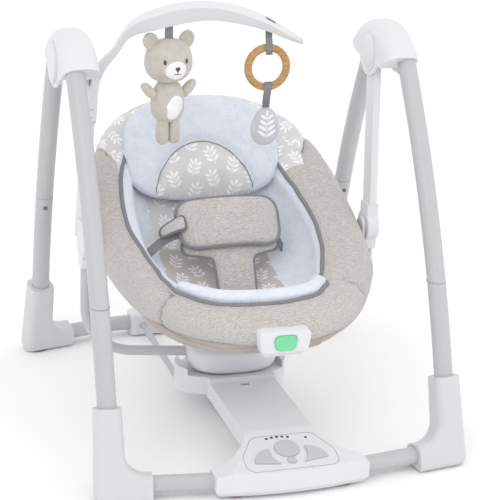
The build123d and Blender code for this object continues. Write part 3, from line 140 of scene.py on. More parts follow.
def ring_mesh(name, rings, materials, closed=False):
    """A skin over rings of equal point counts; closed joins the last ring to the first."""
    count = len(rings[0])
    last = (len(rings) - 1) * count
    verts = [p for ring in rings for p in ring]
    faces = band_faces(len(rings) - 1, count)
    if closed:
        faces += [(last + j, last + (j + 1) % count, (j + 1) % count, j) for j in range(count)]
    else:
        for start, flip in ((0, True), (last, False)):
            middle = len(verts)
            verts.append(sum((Vector(p) for p in verts[start:start + count]), Vector()) / count)
            for j in range(count):
                k = (j + 1) % count
                faces.append((start + k, start + j, middle) if flip else (start + j, start + k, middle))
    return fix_normals(mesh_object(name, verts, faces, materials))


def sweep(name, points, half_a, half_b, materials, up=Vector((0, 0, 1)), closed=False, count=16, power=2.0):
    """A bar of oval section along points; half_a lies across, half_b along the up side."""
    points = [Vector(p) for p in points]
    rings = []
    total = len(points)
    for i, p in enumerate(points):
        share = i / (total - 1)
        before = points[i - 1] if (i > 0 or closed) else p
        after = points[(i + 1) % total] if (i < total - 1 or closed) else p
        along = (after - before).normalized()
        across = along.cross(at_share(up, share))
        if across.length < 1e-6:
            across = along.cross(Vector((1, 0, 0)))
        across.normalize()
        normal = across.cross(along)
        a = at_share(half_a, share)
        b = at_share(half_b, share)
        ring = []
        for t in turns(count):
            c = bent(cos(t), 2 / power)
            s = bent(sin(t), 2 / power)
            ring.append(p + across * (a * c) + normal * (b * s))
        rings.append(ring)
    return ring_mesh(name, rings, materials, closed=closed)


def smooth_path(points, steps):
    """A rounded line through the points."""
    pts = [Vector(p) for p in points]
    pts = [pts[0] * 2 - pts[1]] + pts + [pts[-1] * 2 - pts[-2]]
    out = []
    for p0, p1, p2, p3 in zip(pts, pts[1:], pts[2:], pts[3:]):
        for k in range(steps):
            t = k / steps
            out.append(0.5 * (2 * p1 + (p2 - p0) * t + (2 * p0 - 5 * p1 + 4 * p2 - p3) * t * t
                              + (3 * p1 - p0 - 3 * p2 + p3) * t * t * t))
    return out + [pts[-2]]


def line_run(points):
    """Distance from the start of a line to each of its points."""
    run = [0.0]
    for a, b in zip(points, points[1:]):
        run.append(run[-1] + (b - a).length)
    return run


def even_spots(run, count):
    """Evenly spaced spots on a line: each with its piece, how far into it, the piece's length and the run."""
    spots = []
    j = 0
    for i in range(count + 1):
        target = run[-1] * i / count
        while j < len(run) - 2 and run[j + 1] < target:
            j += 1
        spots.append((j, target - run[j], max(run[j + 1] - run[j], 1e-9), target))
    return spots


def even_line(points, count):
    """The same line with its points evenly spaced."""
    spots = even_spots(line_run(points), count)
    return [points[j].lerp(points[j + 1], ahead / span) for j, ahead, span, _ in spots]


def store_flat(obj, values):
    """Flat cloth coordinates in metres, kept on the points for printed patterns."""
    layer = obj.data.attributes.new("flat", "FLOAT_VECTOR", "POINT")
    full = [tuple(v) for v in values]
    extra = len(obj.data.vertices) - len(full)
    full += [full[-1]] * extra
    layer.data.foreach_set("vector", np.array(full, np.float32).ravel())


def placed(obj, body, covers=()):
    """Sets a piece on its body and hides the nodes it stands for."""
    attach(obj, body)
    if covers:
        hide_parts(*covers)


def cord(name, line, half_a, half_b, mat, body, slot, covers=(), fill=None, **more):
    """A swept bar that rides on a body."""
    placed(sweep(name, line, half_a, half_b, [mat], **more), body, covers)


# Materials

def tint(hexa):
    def part(i):
        v = int(hexa[i:i + 2], 16) / 255
        return v / 12.92 if v <= 0.04045 else ((v + 0.055) / 1.055) ** 2.4
    return part(0), part(2), part(4)


class Net:
    """A material with short calls for building its nodes."""

    def __init__(self, name, colour, rough, spec):
        self.mat = bpy.data.materials.new(name)
        self.mat.use_nodes = True
        self.tree = self.mat.node_tree
        self.give("Base Color", (*colour, 1))
        self.give("Roughness", rough)
        self.give("Specular IOR Level", spec)

    def put(self, socket, value):
        """Sets a socket to a plain value or to another node's output."""
        if isinstance(value, bpy.types.NodeSocket):
            self.tree.links.new(value, socket)
        else:
            socket.default_value = value

    def give(self, name, value):
        self.put(self.tree.nodes["Principled BSDF"].inputs[name], value)

    def node(self, kind, inputs=None, **settings):
        n = self.tree.nodes.new(kind)
        for key, value in settings.items():
            setattr(n, key, value)
        for key, value in (inputs or {}).items():
            self.put(n.inputs[key], value)
        return n

    def math(self, op, *values):
        return self.node("ShaderNodeMath", dict(enumerate(values)), operation=op).outputs[0]

    def mixed(self, a, share_a, b, share_b):
        """Two values times their shares, added."""
        return self.math("ADD", self.math("MULTIPLY", a, share_a), self.math("MULTIPLY", b, share_b))

    def coords(self, scale=(1, 1, 1), rotation=(0, 0, 0)):
        at = self.node("ShaderNodeTexCoord").outputs["Object"]
        inputs = {"Vector": at, "Scale": scale, "Rotation": rotation}
        return self.node("ShaderNodeMapping", inputs).outputs["Vector"]

    def noise(self, vector, scale, detail, rough=0.55):
        inputs = {"Vector": vector, "Scale": scale, "Detail": detail, "Roughness": rough}
        return self.node("ShaderNodeTexNoise", inputs).outputs["Fac"]

    def ramp(self, value, low, high, a=0.0, b=1.0):
        inputs = {"Value": value, "From Min": low, "From Max": high, "To Min": a, "To Max": b}
        return self.node("ShaderNodeMapRange", inputs, interpolation_type="SMOOTHSTEP").outputs["Result"]

    def mix(self, factor, a, b):
        n = self.node("ShaderNodeMix", {"Factor": factor}, data_type="RGBA")
        for name, value in (("A", a), ("B", b)):
            socket = [i for i in n.inputs if i.name == name and i.type == "RGBA"][0]
            self.put(socket, (*value, 1) if isinstance(value, tuple) else value)
        return [o for o in n.outputs if o.type == "RGBA"][0]

    def shade(self, value, low, high, dark, light):
        """The base colour, from dark at a low value to light at a high one."""
        self.give("Base Color", self.mix(self.ramp(value, low, high), tint(dark), tint(light)))

    def bump(self, height, strength, distance):
        inputs = {"Height": height, "Strength": strength, "Distance": distance}
        self.give("Normal", self.node("ShaderNodeBump", inputs).outputs["Normal"])


# Waves of the woven threads, in radians per metre
KNIT_RATE = 5200
STRAP_RATE = 3600


def moulded(name, hexa, rough, grain=0.12, spec=0.45):
    colour = tint(hexa)
    net = Net(name, colour, rough, spec)
    at = net.coords()
    broad = net.noise(at, 22, 3)
    net.give("Roughness", net.ramp(broad, 0.3, 0.7, rough - 0.05, rough + 0.06))
    net.give("Base Color", net.mix(broad, tuple(c * 0.965 for c in colour), colour))
    net.bump(net.noise(at, 1500, 2), grain, 0.0002)
    return net.mat


def weave_height(net, rate):
    """Crossing threads, worked on all three faces of the object's own coordinates."""
    split = net.node("ShaderNodeSeparateXYZ", {0: net.coords()})
    x, y, z = [net.math("SINE", net.math("MULTIPLY", split.outputs[axis], rate)) for axis in range(3)]
    first = net.mixed(x, y, y, z)
    return net.math("ADD", first, net.math("MULTIPLY", x, z))


def heather(name, light, dark, sheen=0.25):
    net = Net(name, tint(light), 0.92, 0.15)
    streak = net.noise(net.coords(scale=(0.5, 4, 4), rotation=(0, 0.12, 0.1)), 230, 6, 0.7)
    fleck = net.noise(net.coords(scale=(1, 2, 4)), 900, 3, 0.6)
    net.shade(net.mixed(streak, 0.65, fleck, 0.35), 0.38, 0.62, dark, light)
    net.bump(net.math("ADD", weave_height(net, KNIT_RATE), net.math("MULTIPLY", streak, 1.5)), 0.35, 0.0004)
    net.give("Sheen Weight", sheen)
    return net.mat


def fleece(name, light, dark, scale=420, depth=0.0026):
    net = Net(name, tint(light), 0.95, 0.1)
    at = net.coords()
    tuft = net.noise(at, scale, 5, 0.65)
    net.shade(net.mixed(tuft, 0.6, net.noise(at, 60, 3), 0.4), 0.36, 0.6, dark, light)
    net.bump(tuft, 0.8, depth)
    net.give("Sheen Weight", 0.5)
    net.give("Sheen Roughness", 0.6)
    return net.mat


# Sprig print: a leaning stem with paired oval leaves, columns dropped by half
SPRIG_W = 0.033
SPRIG_H = 0.040
SPRIG_LEAN = radians(20)
LEAF_LONG = 0.0058
LEAF_WIDE = 0.0023
LEAF_TURN = radians(38)
LEAF_STEPS = (-0.0085, -0.0005, 0.0075)
LEAF_OUT = 0.0062
LEAF_UP = 0.0038
LEAF_TOP = 0.0150


def oval_mask(net, px, py, cx, cy, long, wide, turn):
    dx = net.math("SUBTRACT", px, cx)
    dy = net.math("SUBTRACT", py, cy)
    c = cos(turn)
    s = sin(turn)
    along = net.mixed(dx, c / long, dy, s / long)
    across = net.mixed(dy, c / wide, dx, -s / wide)
    return net.ramp(net.mixed(along, along, across, across), 0.75, 1.15, 1.0, 0.0)


def sprig_mask(net):
    """One where the sprigs are, from the flat cloth coordinates."""
    flat = net.node("ShaderNodeAttribute", attribute_name="flat").outputs["Vector"]
    split = net.node("ShaderNodeSeparateXYZ", {0: flat})
    u = net.math("DIVIDE", split.outputs[0], SPRIG_W)
    odd = net.math("MODULO", net.math("ADD", net.math("FLOOR", u), 100.0), 2.0)
    v = net.math("ADD", net.math("DIVIDE", split.outputs[1], SPRIG_H), net.math("MULTIPLY", odd, 0.5))
    p = net.math("MULTIPLY", net.math("SUBTRACT", net.math("FRACT", u), 0.5), SPRIG_W)
    q = net.math("MULTIPLY", net.math("SUBTRACT", net.math("FRACT", v), 0.5), SPRIG_H)
    side = net.math("SUBTRACT", net.math("MULTIPLY", odd, 2.0), 1.0)
    lean = net.math("MULTIPLY", side, sin(SPRIG_LEAN))
    x = net.math("SUBTRACT", net.math("MULTIPLY", p, cos(SPRIG_LEAN)), net.math("MULTIPLY", q, lean))
    y = net.mixed(q, cos(SPRIG_LEAN), p, lean)
    ax = net.math("ABSOLUTE", x)
    mask = oval_mask(net, x, y, 0.0, LEAF_TOP, LEAF_LONG * 0.8, LEAF_WIDE, radians(90))
    for step in LEAF_STEPS:
        leaf = oval_mask(net, ax, y, LEAF_OUT, step + LEAF_UP, LEAF_LONG, LEAF_WIDE, LEAF_TURN)
        mask = net.math("MAXIMUM", mask, leaf)
    stem = net.math("MULTIPLY", net.ramp(ax, 0.0004, 0.0008, 1.0, 0.0),
                    net.ramp(net.math("ABSOLUTE", y), 0.0125, 0.0135, 1.0, 0.0))
    return net.math("MAXIMUM", mask, stem)


def printed(name, ground, dim, motif):
    net = Net(name, tint(ground), 0.9, 0.15)
    mottled = net.mix(net.ramp(net.noise(net.coords(), 500, 4), 0.35, 0.65), tint(dim), tint(ground))
    net.give("Base Color", net.mix(sprig_mask(net), mottled, tint(motif)))
    net.bump(weave_height(net, KNIT_RATE), 0.25, 0.0003)
    net.give("Sheen Weight", 0.2)
    return net.mat


def webbing_material(name, light, dark):
    net = Net(name, tint(light), 0.85, 0.2)
    rows = weave_height(net, STRAP_RATE)
    net.shade(rows, -0.8, 0.8, dark, light)
    net.bump(rows, 0.5, 0.0005)
    return net.mat


def wood_material(name, light, dark):
    net = Net(name, tint(light), 0.5, 0.35)
    grain = net.noise(net.coords(scale=(1.0, 9.0, 9.0), rotation=(0.2, 0.35, 0.1)), 38, 6, 0.62)
    fine = net.noise(net.coords(scale=(1, 14, 14)), 160, 4)
    net.shade(net.mixed(grain, 0.7, fine, 0.3), 0.36, 0.66, dark, light)
    net.bump(fine, 0.12, 0.0003)
    return net.mat


WHITE = moulded("white_moulding", "E1E1E4", 0.38)
# grey of the buttons, also the painted shade of the collar lines on the toy bar's post
BUTTON_GREY_AND_SEAM_SHADE = moulded("button_grey_and_seam_shade", "C5C5C8", 0.45)
# greyer copy of the white plastic: painted shade on the toy bar's front face, which looks down
BAR_FACE_PAINTED_SHADE = moulded("toy_bar_face_painted_shade", "D3D3D6", 0.42)
# greyer copy of the white plastic: painted shade on the feet near the floor
FOOT_PAINTED_SHADE = moulded("foot_moulding_painted_shade", "D2D2D5", 0.38)
# grey of thin lines in grooves and seams: painted shade
SEAM_PAINTED_SHADE = moulded("seam_painted_shade", "A2A2A6", 0.5)
TUBE_GREY = moulded("satin_tube", "BEBEC1", 0.34, grain=0.05, spec=0.6)
STEEL = moulded("steel_finish", "A9ABAE", 0.3)
# dark grey of the snap pins, also the painted shade in the toy bar's slot
RUBBER_AND_SLOT_SHADE = moulded("rubber_sole_and_slot_shade", "77777C", 0.8)
DARK_SPOT = moulded("dark_spot", "3F4044", 0.4)
GREEN = moulded("green_button", "7AD7A1", 0.4)
BOARD = moulded("board_green", "2F6B4A", 0.5)
HEATHER = heather("heather_knit", "DBD8D5", "A9A5A1")
UNDERSIDE = heather("underside_cloth", "C3B9B4", "AFA49F")
PIPING = heather("grey_piping", "97979C", "7C7C82", sheen=0.1)
PIPING_DARK = heather("dark_piping", "85858B", "6E6E74", sheen=0.1)
PLUSH = fleece("bluish_fleece", "EEF3FD", "E0E7F6")
PRINT = printed("sprig_print", "E2E0E0", "D9D7D7", "FBFBFD")
# darker copy of the sprig print: painted shade for the low part of the seat
PRINT_SEAT_PAINTED_SHADE = printed("sprig_print_seat_painted_shade", "CCC8C5", "C1BBB7", "EFEEEE")
WEBBING = webbing_material("strap_webbing", "9C9DA0", "838488")
BEAR_CLOTH = fleece("bear_velour", "CCC7BE", "BCB6AB", scale=700, depth=0.0007)
BEAR_WHITE = fleece("bear_white", "F7F6F4", "E9E8E6", scale=800, depth=0.0006)
BEAR_DARK = moulded("bear_eye", "4F4A40", 0.35)
PENDANT = fleece("pendant_cloth", "CFCFD5", "B9B9C0", scale=900, depth=0.0005)
THREAD_WHITE = moulded("white_thread", "F4F4F5", 0.8)
WOOD = wood_material("ring_wood", "C9A471", "B0834F")

SLOT_FINISH = {
    "white_plastic": WHITE, "grey_plastic": BUTTON_GREY_AND_SEAM_SHADE, "grey_tube": TUBE_GREY, "steel": STEEL,
    "rubber": RUBBER_AND_SLOT_SHADE, "beige_fabric": HEATHER, "print_fabric": PRINT, "plush": PLUSH,
    "webbing": WEBBING, "bear_fabric": BEAR_CLOTH, "wood": WOOD, "green_plastic": GREEN, "board": BOARD,
}
NODE_FINISH = {"leg_snap_pins": RUBBER_AND_SLOT_SHADE}
slot_of_node = {part["node"]: part["material_slot"] for part in frame["record"]["subparts"]}
for name, obj in nodes.items():
    obj.data.materials.clear()
    finish = NODE_FINISH.get(name, SLOT_FINISH[slot_of_node[name]])
    # the feet get the greyer white as painted shade
    if name.endswith(("_foot_right", "_foot_left")):
        finish = FOOT_PAINTED_SHADE
    obj.data.materials.append(finish)


# Seat rim shapes
RIM_Y = RIM_FOOT_Y - RIM_R * sin(RIM_TILT)
RIM_Z = RIM_FOOT_Z + RIM_R * cos(RIM_TILT)


def rim_frame(s):
    """A place along the rim's arc with its along and up directions."""
    a = RIM_TILT + s / RIM_R
    point = Vector((0, RIM_Y + RIM_R * sin(a), RIM_Z - RIM_R * cos(a)))
    return point, Vector((0, cos(a), sin(a))), Vector((0, -sin(a), cos(a)))


def rim_place(x, s, h):
    """A place across, along and above the rim's arc."""
    point, _, up = rim_frame(s)
    return Vector((x, 0, 0)) + point + up * h


def rim_plan(degrees):
    """Across and along of the rim line, a rounded outline that is squarer at the head."""
    c = cos(radians(degrees))
    s = sin(radians(degrees))
    power = 2 / (RIM_HEAD_SQUARE if s > 0 else RIM_SQUARE)
    return RIM_HALF_W * bent(c, power) * (1 - RIM_TAPER * s), RIM_HALF_L * (1 + bent(s, power))


def rim_axes(degrees):
    """A place on the rim line with its along, outward and up directions."""
    x, s = rim_plan(degrees)
    centre, _, up = rim_frame(s)
    centre = centre + Vector((x, 0, 0))
    ahead = rim_plan(degrees + 0.2)
    behind = rim_plan(degrees - 0.2)
    along = (rim_place(ahead[0], ahead[1], 0) - rim_place(behind[0], behind[1], 0)).normalized()
    out = along.cross(up).normalized()
    return centre, along, out, up


def rim_half(degrees):
    """Half width of the bolster at a place on the rim."""
    spans = ((SIDE_FROM, SIDE_TO, BOLSTER_SIDE),
             (SIDE_TO, 180 - SIDE_TO, BOLSTER_HEAD),
             (180 - SIDE_TO, 180 - SIDE_FROM, BOLSTER_SIDE),
             (180 - SIDE_FROM, 360 + SIDE_FROM, BOLSTER_FRONT))
    turn = (degrees - SIDE_FROM) % 360 + SIDE_FROM
    for start, end, mid in spans:
        if start <= turn <= end:
            t = (turn - start) / (end - start)
            return BOLSTER_END + (mid - BOLSTER_END) * sin(pi * t)
    return BOLSTER_END


def even_degrees(start, end, step):
    """Angles whose places lie about evenly along the rim, each with its run and the whole length."""
    parts = 400
    fine = [start + (end - start) * i / parts for i in range(parts + 1)]
    run = line_run([rim_axes(d)[0] for d in fine])
    spots = even_spots(run, max(8, round(run[-1] / step)))
    return [(fine[j] + (fine[j + 1] - fine[j]) * ahead / span, at, run[-1]) for j, ahead, span, at in spots]


# Bolsters: seams at the head, and how the cloth draws in beside a seam
SEAM_AT = 28.0
SEAM_SLANT = 8.0
SEAM_BLEND = 15.0
SEAM_DRAW = 0.16
SEAM_DRAW_RUN = 0.0045
PUCKER_RISE = 0.0011
PUCKER_RUN = 0.022
PUCKER_COUNT = 11
SWELL_RISE = 0.0020
DIMPLE_RISE = 0.0009
RIM_STEP = 0.006
SOFT_POWER = 0.9


def slanted(degrees, inner):
    """Turns a place on the rim so that the head seams run down towards the inside."""
    right = exp(-((degrees - SEAM_AT) / SEAM_BLEND) ** 2)
    left = exp(-((degrees - 180 + SEAM_AT) / SEAM_BLEND) ** 2)
    return degrees - SEAM_SLANT * inner * (right - left)


def bolster_piece(name, start, end, mat, covers, seed):
    rings = []
    flats = []
    for degrees, run, total in even_degrees(start, end, RIM_STEP):
        edge = min(run, total - run)
        draw = 1 - SEAM_DRAW * exp(-edge / SEAM_DRAW_RUN)
        ring = []
        for t in turns(56):
            c = bent(cos(t), SOFT_POWER)
            s = bent(sin(t), SOFT_POWER)
            turned = slanted(degrees, -c)
            centre, _, out, up = rim_axes(turned)
            half = rim_half(turned)
            p = centre + out * (half * c * draw) + up * (BOLSTER_HALF_T * s * draw)
            wave = sin(PUCKER_COUNT * t + seed + 3 * noise.noise(p * 30))
            pucker = PUCKER_RISE * exp(-edge / PUCKER_RUN) * wave
            swell = SWELL_RISE * noise.noise(p * 18 + Vector((seed, 0, 0)))
            soft = swell + DIMPLE_RISE * noise.noise(p * 48)
            ring.append(p + (out * c + up * s).normalized() * (pucker + soft))
            flats.append((run, half * t, 0))
        rings.append(ring)
    obj = ring_mesh(name, rings, [mat])
    store_flat(obj, flats)
    placed(obj, "seat", covers)


bolster_piece("bolster_right_soft", SIDE_FROM, SEAM_AT, HEATHER, ["side_bolster_right"], 1)
bolster_piece("bolster_left_soft", 180 - SEAM_AT, 180 - SIDE_FROM, HEATHER, ["side_bolster_left"], 2)
bolster_piece("bolster_front_soft", 180 - SIDE_FROM, 360 + SIDE_FROM, HEATHER, ["front_bolster"], 3)
bolster_piece("bolster_head_soft", SEAM_AT, 180 - SEAM_AT, PRINT, ["head_bolster"], 4)


def rim_offset(degrees, side, rise):
    """A place beside the rim line, in half widths outwards and half thicknesses up."""
    centre, _, out, up = rim_axes(degrees)
    return centre + out * (rim_half(degrees) * side) + up * (BOLSTER_HALF_T * rise)


# Piping on the rim's inner edge: turn, step up the bolster (2 is its crest), reach inwards in half widths
PIPE_R = 0.0034
PIPE_UP = 0.001
PIPE_KEYS = ((-46, 1.40, 1.44), (-30, 1.40, 1.58), (-14, 1.40, 1.50), (-2, 1.40, 1.40), (8, 1.40, 1.62),
             (18, 1.40, 1.82), (34, 1.40, 1.86), (62, 1.30, 1.20), (90, 1.25, 1.07), (120, 1.40, 1.07),
             (146, 1.70, 1.07), (165, 1.76, 1.07), (180, 1.80, 1.07), (195, 1.64, 1.07), (207, 1.68, 1.07),
             (217, 1.86, 1.07), (228, 2.02, 1.07), (245, 2.06, 1.07), (265, 2.00, 1.07), (290, 1.96, 1.07),
             (302, 1.80, 1.12), (314, 1.40, 1.44))
LIP_RISE = 1.07


def pipe_keys(degrees):
    """Step and reach of the piping at a turn on the rim."""
    first = PIPE_KEYS[0][0]
    turn = (degrees - first) % 360 + first
    for (a, step_a, out_a), (b, step_b, out_b) in zip(PIPE_KEYS, PIPE_KEYS[1:]):
        if a <= turn <= b:
            share = (turn - a) / (b - a)
            share = share * share * (3 - 2 * share)
            return step_a + (step_b - step_a) * share, out_a + (out_b - out_a) * share
    return PIPE_KEYS[-1][1:]


# Seam lines at the head, a little under the cloth
SEAM_R = 0.0010
SEAM_IN = 0.88
for label, degrees in (("right", SEAM_AT), ("left", 180 - SEAM_AT)):
    loop = []
    for j in range(25):
        t = pi * (-0.15 + 1.3 * j / 24)
        turned = slanted(degrees, -cos(t))
        loop.append(rim_offset(turned, SEAM_IN * cos(t), SEAM_IN * sin(t)))
    cord("head_seam_" + label, loop, SEAM_R, SEAM_R, UNDERSIDE, "seat", "webbing", count=8)

# Depth of the pan along the rim's arc
PAN_SHALLOW = 0.033
PAN_DEEPER = 0.062
PAN_LEAD = 0.025
PAN_SPAN = 0.540
PAN_ROUND = 0.8

# Liner bowl: fleece walls with a printed strip down the middle, whose low part takes a darker copy of the
# print as painted shade
BOWL_MID_S = 0.236
BOWL_WALL = 0.034
BOWL_PRINT_LEFT = -0.108
BOWL_PRINT_RIGHT = 0.074
BOWL_FRONT_S = 0.050
BOWL_PALE_S = 0.270
LINER_STEP = 0.007
LINER_T = 0.004
LINER_END = 1.95
WALL_POWER = 3.0
WALL_ROUND = 0.55
FOLD_RISE = 0.0032
FLUFF_RISE = 0.0010
SHADED_PRINT_AT = 1
HEATHER_AT = 2
PALE_PRINT_AT = 3


def pan_depth(s):
    """Depth of the pan below the rim's arc at a place along it."""
    swell = max(sin(pi * (s + PAN_LEAD) / PAN_SPAN), 0.02)
    return PAN_SHALLOW + PAN_DEEPER * swell ** PAN_ROUND


def to_rim(point):
    """Across, along and above the rim's arc for a point of the seat."""
    dy = point.y - RIM_Y
    dz = RIM_Z - point.z
    return point.x, (atan2(dy, dz) - RIM_TILT) * RIM_R, RIM_R - hypot(dy, dz)


def liner_point(degrees, step, lift=1.0):
    """From the bowl's middle at 0 to the bolster's inner side at 1 and its crest at 2."""
    out = pipe_keys(degrees)[1]
    if step > 1:
        turn = (step - 1) * pi / 2
        side = -out * lift * bent(cos(turn), SOFT_POWER)
        return rim_offset(degrees, side, LIP_RISE * lift * abs(sin(turn)) ** SOFT_POWER)
    x1, s1, h1 = to_rim(rim_offset(degrees, -out, 0.0))
    s = BOWL_MID_S + (s1 - BOWL_MID_S) * step
    floor = BOWL_WALL - pan_depth(s)
    rise = 1 - (1 - step ** WALL_POWER) ** WALL_ROUND
    return rim_place(x1 * step, s, floor + (h1 - floor) * rise)


def build_liner():
    """Rows from the bowl's middle to the piping, then extra rows over the bolster."""
    rows = 48
    extra = 6
    around = [d for d, _, _ in even_degrees(0, 360, LINER_STEP)[:-1]]
    count = len(around)
    verts = []
    flats = []
    for i in range(rows + extra + 1):
        for degrees in around:
            edge = pipe_keys(degrees)[0]
            if i <= rows:
                step = edge * (i + 0.4) / (rows + 0.4)
                p = liner_point(degrees, step)
                inner = min(step, 1) ** 2 * (1 - (i / rows) ** 8)
            else:
                share = (i - rows) / extra
                step = edge + (max(edge + 0.08, LINER_END) - edge) * share
                p = liner_point(degrees, step, 1 - 0.30 * max(share - 0.6, 0))
                inner = 0
            x, s, h = to_rim(p)
            fold = FOLD_RISE * inner * noise.noise(p * 22) + FLUFF_RISE * noise.noise(p * 60)
            verts.append(rim_place(x, s, h + fold))
            flats.append((x, s, 0))
    faces = band_faces(rows + extra, count)
    faces.append(tuple(reversed(range(count))))
    head_from = SEAM_AT - SEAM_SLANT
    lip = [PALE_PRINT_AT if head_from < d < 180 - head_from else HEATHER_AT for d in around]
    paint = [0] * (rows * count) + lip * extra + [0]
    obj = mesh_object("seat_liner_soft", verts, faces, [PLUSH, PRINT_SEAT_PAINTED_SHADE, HEATHER, PRINT])
    obj.data.polygons.foreach_set("material_index", paint)
    store_flat(obj, flats)
    bm = bmesh.new()
    bm.from_mesh(obj.data)
    for cut in (BOWL_PRINT_LEFT, BOWL_PRINT_RIGHT):
        bmesh.ops.bisect_plane(bm, geom=bm.verts[:] + bm.edges[:] + bm.faces[:], dist=1e-6,
                               plane_co=(cut, 0, 0), plane_no=(1, 0, 0))
    bmesh.ops.recalc_face_normals(bm, faces=bm.faces)
    for face in bm.faces:
        middle = face.calc_center_median()
        s = to_rim(middle)[1]
        # the strip's low part takes the darker print as painted shade; beyond BOWL_PALE_S it takes the plain
        # print
        if face.material_index == 0 and BOWL_PRINT_LEFT < middle.x < BOWL_PRINT_RIGHT and s > BOWL_FRONT_S:
            face.material_index = PALE_PRINT_AT if s > BOWL_PALE_S else SHADED_PRINT_AT
        face.smooth = True
    bm.to_mesh(obj.data)
    bm.free()
    thick = obj.modifiers.new("thickness", "SOLIDIFY")
    thick.thickness = LINER_T
    thick.offset = -1
    placed(obj, "seat", ["seat_liner"])


build_liner()
pipe_line = []
for degrees, _, _ in even_degrees(180 - SIDE_TO, 360 + SIDE_TO, RIM_STEP):
    pipe_line.append(liner_point(degrees, pipe_keys(degrees)[0]) + rim_axes(degrees)[3] * PIPE_UP)
cord("inner_piping", pipe_line, PIPE_R, PIPE_R, PIPING, "seat", "webbing", count=10)

# Front roll of fleece above the piping
ROLL_FROM = 224.0
ROLL_TO = 313.0
ROLL_BACK = 0.24
ROLL_UP = 0.004
ROLL_END = 0.004
roll_line = []
for degrees, _, _ in even_degrees(ROLL_FROM, ROLL_TO, RIM_STEP):
    roll_line.append(liner_point(degrees, pipe_keys(degrees)[0] - ROLL_BACK) + rim_axes(degrees)[3] * ROLL_UP)


def roll_half(swell):
    """Half size of the roll along its length, thin at both ends."""
    return lambda t: ROLL_END + swell * sin(pi * t) ** 0.25


cord("front_roll", roll_line, roll_half(0.0095), roll_half(0.0080), PLUSH, "seat", "plush", fill=0.6,
     count=24)


# Pads from an outline
JOIN_WITHIN = 0.00002
ARC_STEPS = 8
OUTLINE_STEP = 0.003


def pad(name, outline, centre, half_t, place, mats, power=3.0, rows=16, height=None, paint=None):
    """A stuffed pad: outline points shrink to the centre, with a crowned front and back."""
    count = len(outline)
    verts = []
    flats = []
    for face_side in (1, -1):
        for i in range(rows):
            r = 1 - (i / rows)
            for u, v in outline:
                pu = centre[0] + (u - centre[0]) * r
                pv = centre[1] + (v - centre[1]) * r
                h = half_t * max(1 - r ** power, 0) ** 0.5
                if height and face_side == 1:
                    h += height(pu, pv) * (1 - r ** 6)
                verts.append(place(pu, pv, face_side * h))
                flats.append((pu, pv, face_side))
        crown = height(*centre) if height and face_side == 1 else 0
        verts.append(place(*centre, face_side * half_t + crown))
        flats.append((*centre, face_side))
    block = rows * count + 1
    faces = []
    for base in (0, block):
        faces += band_faces(rows - 1, count, base)
        last = base + (rows - 1) * count
        faces += [(last + j, last + (j + 1) % count, base + block - 1) for j in range(count)]
    obj = mesh_object(name, verts, faces, mats)
    store_flat(obj, flats)
    if paint:
        for poly in obj.data.polygons:
            mid = sum((Vector(flats[v]) for v in poly.vertices), Vector()) / len(poly.vertices)
            poly.material_index = paint(mid.x, mid.y, mid.z)
    rim = obj.vertex_groups.new(name="edge")
    rim.add(list(range(count)) + list(range(block, block + count)), 1.0, "REPLACE")
    return fix_normals(obj, merge=JOIN_WITHIN)


# Cloth settings of the filling, and how many steps it runs
FILLING = {
    "quality": 6, "mass": 0.2, "tension_stiffness": 12, "compression_stiffness": 12, "shear_stiffness": 4,
    "bending_stiffness": 0.3, "use_pressure": True, "vertex_group_mass": "edge",
}
FILLING_FRAMES = 16


def puff(obj, pressure, cap, seam=None):
    """Fills a pad as cloth with its edge and seams held; no point moves further than cap."""
    held = obj.vertex_groups["edge"]
    if seam:
        flat = obj.data.attributes["flat"].data
        held.add([v.index for v in obj.data.vertices if seam(*flat[v.index].vector)], 1.0, "REPLACE")
    cloth = obj.modifiers.new("filling", "CLOTH")
    for key, value in FILLING.items():
        setattr(cloth.settings, key, value)
    cloth.settings.uniform_pressure_force = pressure
    cloth.settings.effector_weights.gravity = 0
    cloth.collision_settings.use_collision = False
    cloth.point_cache.frame_start = 1
    cloth.point_cache.frame_end = FILLING_FRAMES
    for number in range(1, FILLING_FRAMES + 1):
        bpy.context.scene.frame_set(number)
    filled = obj.evaluated_get(bpy.context.evaluated_depsgraph_get())
    moved = [v.co.copy() for v in filled.data.vertices]
    obj.modifiers.remove(cloth)
    bpy.context.scene.frame_set(1)
    for vertex, place in zip(obj.data.vertices, moved):
        move = place - vertex.co
        if move.length > cap:
            move = move * (cap / move.length)
        vertex.co += move
    obj.data.update()


def round_outline(corners, radius):
    """Points around a polygon with rounded corners, anticlockwise."""
    pts = [Vector((x, y)) for x, y in corners]
    line = []
    total = len(pts)
    for i in range(total):
        p = pts[i]
        a = pts[i - 1] - p
        b = pts[(i + 1) % total] - p
        reach = min(radius, a.length * 0.49, b.length * 0.49)
        start = p + a.normalized() * reach
        end = p + b.normalized() * reach
        for k in range(ARC_STEPS + 1):
            t = k / ARC_STEPS
            line.append(start * (1 - t) ** 2 + p * 2 * t * (1 - t) + end * t ** 2)
    out = []
    for i in range(len(line)):
        p = line[i]
        q = line[(i + 1) % len(line)]
        cuts = max(1, int((q - p).length / OUTLINE_STEP))
        for k in range(cuts):
            out.append(tuple(p.lerp(q, k / cuts)))
    return out


def tilted_place(y, z, tilt, bend, x=0.0):
    """A place on a pad leaning back by tilt degrees, its edges bending by bend(u, v)."""
    a = radians(tilt)
    along = Vector((0, cos(a), sin(a)))
    out = Vector((0, -sin(a), cos(a)))

    def place(u, v, h):
        return Vector((x + u, y, z)) + along * v + out * (h + bend(u, v))
    return place


